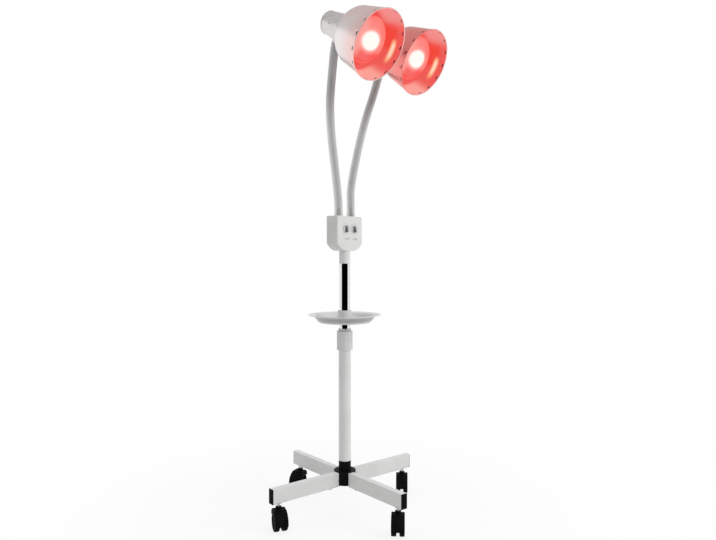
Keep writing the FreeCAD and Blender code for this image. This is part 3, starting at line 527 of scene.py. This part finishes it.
# ---- lamp heads ----
head = {
    "pitch": 29.0,          # degrees below level
    "pivotAlong": 58.0,     # rear end of the axis to abreast of the tilt pivot
    "pivotDrop": 56.0,
}
shade = {
    "hole": 38.15, "rear": 86.0, "corner": 49.5, "ease": 2.0, "shoulder": 77.0, "shoulderDepth": 34.0,
    "bulge": 3.1, "bulgeSteps": 12, "rings": [135.0, 150.0, 168.0, 184.0], "front": 92.6, "length": 202.0,
    "wall": 1.2, "bead": 1.45, "beadInset": 0.35, "beadSides": 10, "turns": 120,
    "vents": 15, "firstVent": 104.0, "ventMiddle": 195.8, "ventHalf": 1.7, "ventDegrees": 6.0,
    "gauzeOver": 0.3, "gauzeThick": 0.4,
}
bulb = {
    "neck": 13.4, "start": 36.9, "waist": 19.0, "waistAt": 60.9, "widest": 62.5, "widestAt": 150.9,
    "rim": 47.0, "rimAt": 169.9, "tip": 177.9, "bodySteps": 16, "edgeSteps": 8, "turns": 64,
}
neckTrim = {
    "rear": 30.8, "front": 41.4, "length": 84.0, "beads": (7.0, 77.0), "beadRise": 0.7, "beadWidth": 2.6,
    "beadRoot": 0.4, "screwAt": 41.0, "screwAngles": (180.0, 300.0, 60.0), "screwHead": 3.6, "screwRise": 1.9,
    "slotLong": 1.4, "slotWide": 0.3,       # shares of the screw head's radius
}


def headPlacing(side):
    pivot = Vector(joints["head_%s_tilt" % side]["pos_m"])
    turn = Matrix.Rotation(math.radians(90 + head["pitch"]), 4, "X")
    rear = pivot - turn @ Vector((0, -head["pivotDrop"] * mm, head["pivotAlong"] * mm))
    return Matrix.Translation(rear) @ turn


def isVent(face):
    s = shade
    pitch = 360 / s["vents"]
    angle = math.degrees(math.atan2(face.center.y, face.center.x))
    off = (angle + pitch / 2) % pitch - pitch / 2
    return abs(off) < s["ventDegrees"] / 2 and abs(face.center.z / mm - s["ventMiddle"]) < s["ventHalf"]


def makeShade(side):
    s = shade
    slope = (s["front"] - s["shoulder"]) / (s["length"] - s["rear"] - s["shoulderDepth"])

    def wallAt(along):
        return s["front"] - slope * (s["length"] - along)

    corner = (s["corner"], s["rear"])
    shoulder = (s["shoulder"], s["rear"] + s["shoulderDepth"])
    stops = s["rings"] + [s["ventMiddle"] - s["ventHalf"], s["ventMiddle"] + s["ventHalf"],
                          s["length"] - s["bead"]]
    corners = [(s["hole"], s["rear"]), (corner[0] - s["ease"], corner[1]), corner]
    corners += bowed(corner, shoulder, s["bulge"], s["bulgeSteps"]) + [shoulder]
    corners += [(wallAt(along), along) for along in stops]
    obj = lathe("shade_" + side, corners, s["turns"], closed=False)
    chooseFaces(obj, isVent)
    bpy.ops.mesh.delete(type="FACE")
    settle(obj, Matrix.Rotation(math.radians(s["firstVent"]), 4, "Z"))
    dress(obj, "spunSilver_" + side, "litReflector")
    applyModifier(obj, "SOLIDIFY", thickness=s["wall"] * mm, offset=-1, material_offset=1)
    bead = []
    for k in range(s["beadSides"]):
        angle = math.tau * k / s["beadSides"]
        bead.append((s["front"] - s["beadInset"] + s["bead"] * math.cos(angle),
                     s["length"] - s["bead"] + s["bead"] * math.sin(angle)))
    rim = lathe("rim_" + side, bead, s["turns"])
    dress(rim, "spunSilver_" + side, angle=60)
    obj = joined("shade_" + side, [obj, rim])
    keepHeadPlace(obj)
    settle(obj, headPlacing(side))
    standsFor(obj, "head_" + side, "shade_silver", "head_shade_" + side)
    makeGauze(side, wallAt(s["ventMiddle"]) - s["wall"] / 2, math.atan(slope))


def makeGauze(side, radius, tilt):
    # dark gauze in each vent, halfway through the wall
    s = shade
    plates = []
    width = 2 * radius * math.sin(math.radians(s["ventDegrees"] / 2)) + s["gauzeOver"]
    for k in range(s["vents"]):
        clearSelection()
        bpy.ops.mesh.primitive_grid_add(x_subdivisions=2, y_subdivisions=6, size=1)
        plate = openPiece("gauze")
        bpy.ops.transform.resize(value=((2 * s["ventHalf"] + s["gauzeOver"]) * mm, width * mm, 1))
        bpy.ops.object.mode_set(mode="OBJECT")
        applyModifier(plate, "SOLIDIFY", thickness=s["gauzeThick"] * mm, offset=0)
        stand = Matrix.Rotation(-math.pi / 2 + tilt, 4, "Y")
        place = Matrix.Translation((radius * mm, 0, s["ventMiddle"] * mm)) @ stand
        turn = Matrix.Rotation(math.radians(s["firstVent"] + 360 * k / s["vents"]), 4, "Z")
        settle(plate, turn @ place)
        plates.append(plate)
    group = joined("vent_gauze_" + side, plates)
    dress(group, "ventGauze")
    settle(group, headPlacing(side))
    standsFor(group, "head_" + side, "black_plastic")


def makeBulb(side):
    b = bulb
    corners = [(0, b["start"]), (b["neck"], b["start"]), (b["waist"], b["waistAt"])]
    middle = (b["widest"] * 0.7, (b["start"] + b["tip"]) / 2)
    for k in range(1, b["bodySteps"]):
        t = k / b["bodySteps"]
        corners.append(tuple((1 - t) ** 2 * p + 2 * t * (1 - t) * q + t * t * r for p, q, r in
                             zip((b["waist"], b["waistAt"]), middle, (b["widest"], b["widestAt"]))))
    corners.append((b["widest"], b["widestAt"]))
    drop = b["rimAt"] - b["widestAt"]
    for k in range(1, b["edgeSteps"] + 1):
        t = math.pi / 2 * k / b["edgeSteps"]
        across = b["rim"] + (b["widest"] - b["rim"]) * math.cos(t)
        corners.append((across, b["widestAt"] + drop * math.sin(t)))
    domeRise = b["tip"] - b["rimAt"]
    for k in range(1, b["edgeSteps"] + 1):
        share = 1 - k / b["edgeSteps"]
        corners.append((b["rim"] * share, b["tip"] - domeRise * share * share))
    obj = lathe("bulb_" + side, corners, b["turns"], closed=False)
    dress(obj, "litBulb", angle=60)
    keepHeadPlace(obj)
    settle(obj, headPlacing(side))
    standsFor(obj, "head_" + side, "red_glass", "bulb_glass_" + side)


def crossCutter(size, depth):
    bars = []
    for turn in (0, 90):
        clearSelection()
        bpy.ops.mesh.primitive_cube_add(size=1)
        bar = openPiece("bar")
        bpy.ops.transform.resize(value=(size * neckTrim["slotLong"] * mm, size * neckTrim["slotWide"] * mm,
                                        depth * 2 * mm))
        bpy.ops.object.mode_set(mode="OBJECT")
        settle(bar, Matrix.Rotation(math.radians(turn), 4, "Z"))
        bars.append(bar)
    applyModifier(bars[0], "BOOLEAN", object=bars[1], operation="UNION", solver="EXACT")
    bpy.data.objects.remove(bars[1])
    return bars[0]


def makeScrewHead(name, radius, rise):
    screw = lathe(name, [(0, -1), (radius, -1), (radius, rise * 0.5, 0.3),
                         (radius * 0.72, rise * 0.92, 0.8), (0, rise)], 20, closed=False)
    cutter = crossCutter(radius, rise * 0.6)
    settle(cutter, Matrix.Translation((0, 0, rise * mm)))
    applyModifier(screw, "BOOLEAN", object=cutter, operation="DIFFERENCE", solver="EXACT")
    bpy.data.objects.remove(cutter)
    return screw


def makeNeckTrim(side):
    n = neckTrim
    slope = (n["front"] - n["rear"]) / n["length"]
    beads = []
    for along in n["beads"]:
        radius = n["rear"] + slope * along
        half = n["beadWidth"] / 2
        lift = slope * half
        root = n["beadRoot"]
        beads.append(lathe("bead", [(radius - lift - root, along - half), (radius - lift, along - half),
                                    (radius + n["beadRise"], along - half * 0.4, 0.5),
                                    (radius + n["beadRise"], along + half * 0.4, 0.5),
                                    (radius + lift, along + half), (radius + lift - root, along + half)], 64))
    trim = joined("neck_beads_" + side, beads)
    dress(trim, "neckSteel")
    settle(trim, headPlacing(side))
    standsFor(trim, "head_" + side, "shade_silver")
    screws = []
    radius = (n["rear"] + slope * n["screwAt"]) * mm
    for angle in n["screwAngles"]:
        outward = Vector((math.cos(math.radians(angle)), math.sin(math.radians(angle)), -slope))
        spot = Vector((outward.x * radius, outward.y * radius, n["screwAt"] * mm))
        screw = makeScrewHead("screw", n["screwHead"], n["screwRise"])
        settle(screw, turnedTo(spot, outward))
        screws.append(screw)
    group = joined("neck_screws_" + side, screws)
    dress(group, "screwNickel")
    settle(group, headPlacing(side))
    standsFor(group, "head_" + side, "bright_steel")


for side in sides:
    makeShade(side)
    makeBulb(side)
    makeNeckTrim(side)
print("heads ready")


# ---- goosenecks ----
hose = {
    "radius": 11.5, "groove": 0.5, "pitch": 3.4, "turnSteps": 28,
    "foot": 11.5,           # box top to the lower end
    "seat": 5.6,            # head pivot to the upper end
    "footBlend": 16.0, "middleBlend": 42.0,
    "left": [(-34.5, 0, 925), (-69.5, -2, 1110), (-77, -20, 1225)],
    "right": [(30.5, 4, 925), (78, -4, 1100), (111, -26, 1215)],
}


def hoseCurve(side):
    h = hose
    foot = Vector(joints["gooseneck_%s_lower_bend" % side]["pos_m"])
    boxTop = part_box("box_rear_shell")[1].z
    bends = [Vector(p) * mm for p in h[side]]
    top = Vector(joints["head_%s_tilt" % side]["pos_m"])
    ahead = (top - bends[-1]).normalized()
    points = [Vector((foot.x, foot.y, boxTop + h["foot"] * mm)), foot + Vector((0, 0, 4 * mm))] + bends
    points.append(top - ahead * h["seat"] * mm)
    curve = bpy.data.curves.new("hoseLine_" + side, "CURVE")
    curve.dimensions = "3D"
    curve.resolution_u = 24
    spline = curve.splines.new("NURBS")
    spline.points.add(len(points) - 1)
    for spot, point in zip(spline.points, points):
        spot.co = (*point, 1)
    spline.order_u = 3
    spline.use_endpoint_u = True
    line = bpy.data.objects.new("hoseLine_" + side, curve)
    bpy.context.collection.objects.link(line)
    return line, spline.calc_length()


def straightHose(name, length):
    h = hose
    r = h["radius"]
    g = h["groove"]
    p = h["pitch"]
    band = [(r - g, 0), (r - g * 0.25, p * 0.14), (r, p * 0.32),
            (r, p * 0.68), (r - g * 0.25, p * 0.86), (r - g, p)]
    points = [Vector((x * mm, 0, z * mm)) for x, z in band]
    obj = outline(name, points)
    bpy.ops.object.mode_set(mode="OBJECT")
    turns = math.ceil(length / mm / p) + 1
    applyModifier(obj, "SCREW", angle=math.tau, screw_offset=p * mm, iterations=turns, steps=h["turnSteps"],
                  render_steps=h["turnSteps"], use_merge_vertices=True, merge_threshold=0.00001, axis="Z")
    cutAcross(obj, (0, 0, p * mm), (0, 0, -1))
    settle(obj, Matrix.Translation((0, 0, -p * mm)))
    cutAcross(obj, (0, 0, length), (0, 0, 1))
    return obj


def cutAcross(obj, place, away):
    # cuts off what lies past the place and closes the end
    pick(obj)
    bpy.ops.object.mode_set(mode="EDIT")
    bpy.ops.mesh.select_all(action="SELECT")
    bpy.ops.mesh.bisect(plane_co=place, plane_no=away, clear_outer=True, use_fill=True)
    bpy.ops.object.mode_set(mode="OBJECT")


def makeGooseneck(side):
    h = hose
    line, length = hoseCurve(side)
    whole = straightHose("hose_" + side, length)
    modifier = whole.modifiers.new("Curve", "CURVE")
    modifier.object = line
    modifier.deform_axis = "POS_Z"
    pick(whole)
    bpy.ops.object.modifier_apply(modifier="Curve")
    bpy.data.objects.remove(line)
    bpy.ops.object.mode_set(mode="EDIT")
    bpy.ops.mesh.select_all(action="SELECT")
    bpy.ops.mesh.normals_make_consistent(inside=False)
    bpy.ops.object.mode_set(mode="OBJECT")
    dress(whole, "hoseSteel", angle=60)
    names = ["lower", "middle", "upper"]
    pivots = [Vector(joints["gooseneck_%s_%s_bend" % (side, name)]["pos_m"]) for name in names]
    pivots.append(Vector(joints["head_%s_tilt" % side]["pos_m"]))
    bends = [Vector(p) * mm for p in h[side]]
    bodies = ["arm_" + side] + ["gooseneck_%s_%s" % (side, name) for name in names]
    cuts = [(pivots[i] + bends[i] * 2 + pivots[i + 1]) / 4 for i in range(2)]
    for i, name in enumerate(names):
        piece = whole.copy()
        piece.data = whole.data.copy()
        piece.name = "hose_%s_%s" % (side, name)
        piece.data.name = piece.name
        bpy.context.collection.objects.link(piece)
        if i > 0:
            cutAcross(piece, cuts[i - 1], pivots[i - 1] - pivots[i])
        if i < 2:
            cutAcross(piece, cuts[i], pivots[i + 1] - pivots[i])
        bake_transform(piece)
        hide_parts(bodies[i + 1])
    bpy.data.objects.remove(whole)


for side in sides:
    makeGooseneck(side)
print("goosenecks ready")


# ---- tray ----
tray = {
    "bore": 18.5, "floor": 73.0, "wall": 87.5, "wallRise": 18.0, "rim": 103.5, "rimRise": 23.0, "thick": 2.0,
    "lip": 3.0, "lipRise": 0.4, "boss": 21.0, "bossTop": 19.9, "bossRise": 35.0, "turns": 128,
}


def makeTray():
    t = tray
    thick = t["thick"]
    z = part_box("tray")[0].z / mm
    wallTop = z + t["wallRise"]
    rimTop = z + t["rimRise"]
    rimUnder = rimTop - thick * 0.9
    corners = [(t["bore"], z), (t["floor"], z, 5.0), (t["wall"], wallTop, 4.0),
               (t["rim"] - t["lip"] / 2, rimUnder, 0.6), (t["rim"], rimUnder, 0.6),
               (t["rim"], rimTop + t["lipRise"], 0.9), (t["rim"] - t["lip"], rimTop + t["lipRise"] / 2, 0.8),
               (t["wall"] - thick * 0.5, wallTop + thick, 2.5), (t["floor"] - thick * 0.5, z + thick, 3.0),
               (t["boss"], z + thick, 2.0), (t["bossTop"], z + t["bossRise"], 1.0),
               (t["bore"], z + t["bossRise"], 0.6)]
    obj = lathe("tray_dish", corners, t["turns"])
    dress(obj, "trayPlastic")
    standsFor(obj, "tray_dish", "tray_plastic", "tray")


makeTray()
print("tray ready")


# ---- control box ----
box = {
    "halfWidth": 55.0, "bottom": 738.0, "top": 836.0, "sideBottom": 759.0, "flat": 14.0, "depth": 20.0,
    "corner": 4.0, "edge": 3.0, "wall": 2.2, "seam": 0.2,
    "knobs": (-18.0, 18.0), "knobHeight": 799.0, "spindleHole": 3.4, "armHole": 6.6, "arms": (-27.0, 27.0),
    "poleHole": 12.2, "holeOver": 4.0, "poleHoleDeep": 8.0, "armHoleDeep": 6.0,
    "tickRing": 16.2, "tick": 1.05, "ticks": 11, "tickSpan": 270.0, "relief": 0.22, "sunk": 0.1,
    "wedgeDrop": 28.0, "wedgeLength": 24.0, "wedgeTall": 2.6,
}
knob = {
    "skirt": 12.0, "skirtDepth": 1.5, "gap": 0.6, "gripLong": 18.0, "gripWide": 12.0, "gripDeep": 2.9,
    "gripSeat": 0.9, "gripTop": (0.86, 0.95, 1), "gripEdge": 1.1,
    "flutes": 40, "pointer": 1.3, "pointerLong": 0.36, "pointerAt": 0.25,     # shares of the grip's length
}


def boxOutline():
    b = box
    run = b["halfWidth"] - b["flat"]
    rise = b["sideBottom"] - b["bottom"]
    radius = (run * run + rise * rise) / (2 * rise)
    sweep = math.asin(run / radius)
    belly = []
    for k in range(12):
        angle = sweep * k / 12
        belly.append((b["flat"] + radius * math.sin(angle), b["bottom"] + radius * (1 - math.cos(angle))))
    side = b["halfWidth"]
    right = belly + [(side, b["sideBottom"], b["corner"]), (side, b["top"], b["corner"])]
    left = [(-point[0], *point[1:]) for point in reversed(right)]
    return softened(right + left)


def roundHole(radius, low, high):
    clearSelection()
    bpy.ops.mesh.primitive_cylinder_add(vertices=40, radius=radius * mm, depth=(high - low) * mm,
                                        location=(0, 0, (high + low) / 2 * mm))
    return bpy.context.object


def makeBoxCover():
    b = box
    points = [Vector((p.x * mm, -b["seam"] * mm, p.y * mm)) for p in boxOutline()]
    obj = outline("box_front", points + points[:1])
    bpy.ops.mesh.remove_doubles(threshold=0.00001)
    bpy.ops.mesh.edge_face_add()
    depth = (b["depth"] - b["seam"]) * mm
    bpy.ops.mesh.extrude_region_move(TRANSFORM_OT_translate={"value": (0, -depth, 0)})
    bpy.ops.mesh.bevel(offset=b["edge"] * mm, segments=5, profile=0.5, affect="EDGES")
    chooseFaces(obj, lambda face: face.center.y > -1.01 * b["seam"] * mm)
    bpy.ops.mesh.delete(type="FACE")
    bpy.ops.mesh.select_all(action="SELECT")
    bpy.ops.mesh.normals_make_consistent(inside=False)
    bpy.ops.object.mode_set(mode="OBJECT")
    applyModifier(obj, "SOLIDIFY", thickness=b["wall"] * mm, offset=-1, use_even_offset=True)
    over = b["holeOver"]
    cutters = [roundHole(b["poleHole"], b["bottom"] - over, b["bottom"] + b["poleHoleDeep"])]
    for x in b["arms"]:
        cutter = roundHole(b["armHole"], b["top"] - b["armHoleDeep"], b["top"] + over)
        settle(cutter, Matrix.Translation((x * mm, 0, 0)) @ cutter.matrix_world)
        cutters.append(cutter)
    for x in b["knobs"]:
        cutter = roundHole(b["spindleHole"], -over, over)
        settle(cutter, turnedTo((x * mm, -b["depth"] * mm, b["knobHeight"] * mm), (0, 1, 0)))
        cutters.append(cutter)
    cutter = joined("holes", cutters)
    applyModifier(obj, "BOOLEAN", object=cutter, operation="DIFFERENCE", solver="EXACT")
    bpy.data.objects.remove(cutter)
    dress(obj, "whitePlastic")
    standsFor(obj, "control_box", "white_plastic", "box_front_cover")


def makeBoxMarks():
    b = box
    root = -b["depth"] + b["sunk"]
    thick = b["relief"] + b["sunk"]
    marks = []
    for x in b["knobs"]:
        for k in range(b["ticks"]):
            angle = math.radians(-b["tickSpan"] / 2 + b["tickSpan"] * k / (b["ticks"] - 1))
            dot = roundHole(b["tick"], 0, thick)
            spot = ((x + b["tickRing"] * math.sin(angle)) * mm, root * mm,
                    (b["knobHeight"] + b["tickRing"] * math.cos(angle)) * mm)
            settle(dot, turnedTo(spot, (0, -1, 0)))
            marks.append(dot)
        low = b["knobHeight"] - b["wedgeDrop"]
        half = b["wedgeLength"] / 2
        corners = [(x - half, low), (x + half, low), (x + half, low + b["wedgeTall"])]
        points = [Vector((px * mm, root * mm, pz * mm)) for px, pz in corners]
        wedge = outline("wedge", points)
        bpy.ops.mesh.edge_face_add()
        bpy.ops.mesh.extrude_region_move(TRANSFORM_OT_translate={"value": (0, -thick * mm, 0)})
        bpy.ops.mesh.select_all(action="SELECT")
        bpy.ops.mesh.normals_make_consistent(inside=False)
        bpy.ops.object.mode_set(mode="OBJECT")
        marks.append(wedge)
    obj = joined("dial_marks", marks)
    dress(obj, "inkGrey")
    standsFor(obj, "control_box", "knob_grey")


def makeKnob(side):
    k = knob
    name = "knob_" + side
    joint = joints[name + "_turn"]
    back = Vector((joint["pos_m"][0], -(box["depth"] + k["gap"]) * mm, joint["pos_m"][2]))
    skirt = lathe("skirt", [(0, 0), (k["skirt"], 0, 0.5), (k["skirt"] - 0.4, k["skirtDepth"] * 0.7, 0.6),
                            (k["skirt"] - 2.2, k["skirtDepth"], 0.5), (0, k["skirtDepth"])], k["flutes"] * 2,
                  closed=False)
    dress(skirt, "knobPlastic")
    clearSelection()
    bpy.ops.mesh.primitive_cube_add(size=1, location=(0, 0, 0.5))
    grip = openPiece("grip")
    bpy.ops.transform.resize(value=(k["gripWide"] * mm, k["gripLong"] * mm, 1), orient_type="GLOBAL")
    bpy.ops.object.mode_set(mode="OBJECT")
    settle(grip, Matrix.Diagonal((1, 1, k["gripDeep"] * mm, 1)) @ grip.matrix_world)
    settle(grip, Matrix.Translation((0, 0, k["skirtDepth"] * k["gripSeat"] * mm)))
    chooseFaces(grip, lambda face: face.normal.z > 0.9)
    bpy.ops.transform.resize(value=k["gripTop"])
    bpy.ops.object.mode_set(mode="OBJECT")
    applyModifier(grip, "BEVEL", width=k["gripEdge"] * mm, segments=3, limit_method="ANGLE")
    dress(grip, "gripPlastic")
    clearSelection()
    bpy.ops.mesh.primitive_cube_add(size=1)
    line = openPiece("pointer")
    bpy.ops.transform.resize(value=(k["pointer"] * mm, k["gripLong"] * k["pointerLong"] * mm, 0.5 * mm))
    bpy.ops.object.mode_set(mode="OBJECT")
    gripFace = k["skirtDepth"] * k["gripSeat"] + k["gripDeep"]
    settle(line, Matrix.Translation((0, k["gripLong"] * k["pointerAt"] * mm, gripFace * mm)))
    applyModifier(line, "BEVEL", width=0.12 * mm, segments=2)
    dress(line, "whitePlastic")
    obj = joined(name + "_cap", [skirt, grip, line])
    settle(obj, Matrix.Translation(back) @ Matrix.Rotation(math.radians(90), 4, "X"))
    standsFor(obj, name, "knob_grey", name)


makeBoxCover()
makeBoxMarks()
for side in sides:
    makeKnob(side)
print("control box ready")


# ---- casters ----
wheel = {
    "radius": 25.0, "inner": 4.0, "outer": 17.5, "edge": 2.5, "rimInner": 17.0, "sunk": 1.5, "hub": 7.0,
    "bore": 3.05, "boreEnd": 15.3, "cap": 2.4, "capDip": 0.3,
    "windows": 5, "windowFrom": 0.17, "windowTo": 0.83, "windowInset": 0.7, "windowDeep": 1.8, "turns": 60,
}


def makeWheel(name):
    w = wheel
    joint = joints[name + "_spin"]
    sunkAt = w["outer"] - w["sunk"]
    corners = [(w["bore"], w["inner"]), (w["radius"], w["inner"], w["edge"]),
               (w["radius"], w["outer"], w["edge"]),
               (w["rimInner"], w["outer"], 0.6), (w["rimInner"] - 1.2, sunkAt, 0.4), (w["hub"] + 1.2, sunkAt),
               (w["hub"], sunkAt, 0.3), (w["hub"], w["outer"], 0.8), (w["cap"], w["outer"]),
               (0, w["outer"] - w["capDip"]), (0, w["boreEnd"]), (w["bore"], w["boreEnd"])]
    obj = lathe(name + "_tyre", corners, w["turns"])
    pitch = 360 / w["windows"]

    def inWindow(face):
        radius = math.hypot(face.center.x, face.center.y) / mm
        angle = math.degrees(math.atan2(face.center.y, face.center.x)) % pitch
        sunkFace = abs(face.center.z / mm - sunkAt) < 0.05 and face.normal.z > 0.9
        between = pitch * w["windowFrom"] < angle < pitch * w["windowTo"]
        return sunkFace and w["hub"] + 1 < radius < w["rimInner"] - 1 and between

    chooseFaces(obj, inWindow)
    bpy.ops.mesh.inset(thickness=w["windowInset"] * mm, depth=0)
    bpy.ops.mesh.extrude_region_move(TRANSFORM_OT_translate={"value": (0, 0, -w["windowDeep"] * mm)})
    bpy.ops.object.mode_set(mode="OBJECT")
    dress(obj, "blackPlastic")
    direction = Vector(joint["axis"]) * (1 if name.endswith("a") else -1)
    settle(obj, turnedTo(joint["pos_m"], direction))
    standsFor(obj, name, "wheel_black", name)


for place in casterNames:
    for letter in "ab":
        makeWheel("caster_%s_wheel_%s" % (place, letter))
print("wheels ready")


# ---- finishes of the other parts ----
cadFinishes = {
    "blackEnamel": ["base_hub"],
    "whiteEnamel": ["leg_" + name for name in casterNames] + ["lower_tube", "pole_adaptor"],
    "blackPlastic": ["leg_end_caps", "power_inlet"] + ["caster_%s_housing" % name for name in casterNames],
    "boltSteel": ["base_bolts", "caster_stems", "box_screws"]
                 + ["caster_%s_axle" % name for name in casterNames],
    "sleevePlastic": ["collet", "tray_ring", "mast_foot"],
    "collarPlastic": ["collar_nut"],
    "chromeTube": ["upper_tube"],
    "whitePlastic": ["box_rear_shell"],
    "controlMetal": ["dimmer_controls"],
    "boardGreen": ["circuit_board"],
    "fittingMetal": ["arm_base_left", "arm_base_right"],
    "hoseSteel": ["head_fitting_left", "head_fitting_right"],
    "neckSteel": ["head_neck_left", "head_neck_right"],
    "ceramicWhite": ["lamp_holder_left", "lamp_holder_right"],
    "capMetal": ["bulb_cap_left", "bulb_cap_right"],
}
for finish, names in cadFinishes.items():
    for name in names:
        for slot in nodes[name].material_slots:
            slot.material = materials[finish]
print("cad finishes ready")


# ---- room ----
def makeRoom(s):
    world = bpy.data.worlds.new("paleRoom")
    bpy.context.scene.world = world
    paint = Paint("paleRoom", world)
    paint.put(Color=(1, 1, 1), Strength=paint.seenRays() * (1 - s["ambient"]) + s["ambient"])
    clearSelection()
    bpy.ops.mesh.primitive_plane_add(size=s["floorSize"])
    floor = bpy.context.object
    floor.name = "paleFloor"
    paint = Paint("paleFloor")
    tint = paint.blend(paint.noise(3.0, 2), (0.90, 0.90, 0.90), (0.93, 0.93, 0.93))
    x, y = paint.parts(paint.place())[:2]
    near, far = s["floorWhite"]
    white = near + ((x * x + y * y) ** 0.5).step(*s["floorPool"]) * (far - near)
    paint.put(Base_Color=tint, Roughness=0.9, Specular_IOR_Level=0.0)
    bright = paint.tree.nodes.new("ShaderNodeEmission")
    mixer = paint.tree.nodes.new("ShaderNodeMixShader")
    paint.feed(mixer.inputs[0], paint.seenRays() * white)
    paint.tree.links.new(paint.shader.outputs[0], mixer.inputs[1])
    paint.tree.links.new(bright.outputs[0], mixer.inputs[2])
    paint.tree.links.new(mixer.outputs[0], paint.tree.nodes["Material Output"].inputs["Surface"])
    floor.data.materials.append(paint.material)
    for name, middle, facing, width, height, grey in s["cards"]:
        clearSelection()
        bpy.ops.mesh.primitive_plane_add(size=1)
        card = bpy.context.object
        card.name = name
        card.matrix_world = turnedTo(middle, facing) @ Matrix.Diagonal((width, height, 1, 1))
        paint = Paint(name)
        paint.put(Base_Color=(0, 0, 0), Roughness=1.0, Specular_IOR_Level=0.0)
        paint.put(Emission_Color=(grey, grey, grey), Emission_Strength=1.0)
        card.data.materials.append(paint.material)
        card.visible_camera = False         # only gloss sees the cards
        card.visible_diffuse = False
        card.visible_shadow = False
        card.visible_transmission = False
    bpy.context.scene.view_settings.view_transform = "Standard"


makeRoom(studio)
print("room ready")
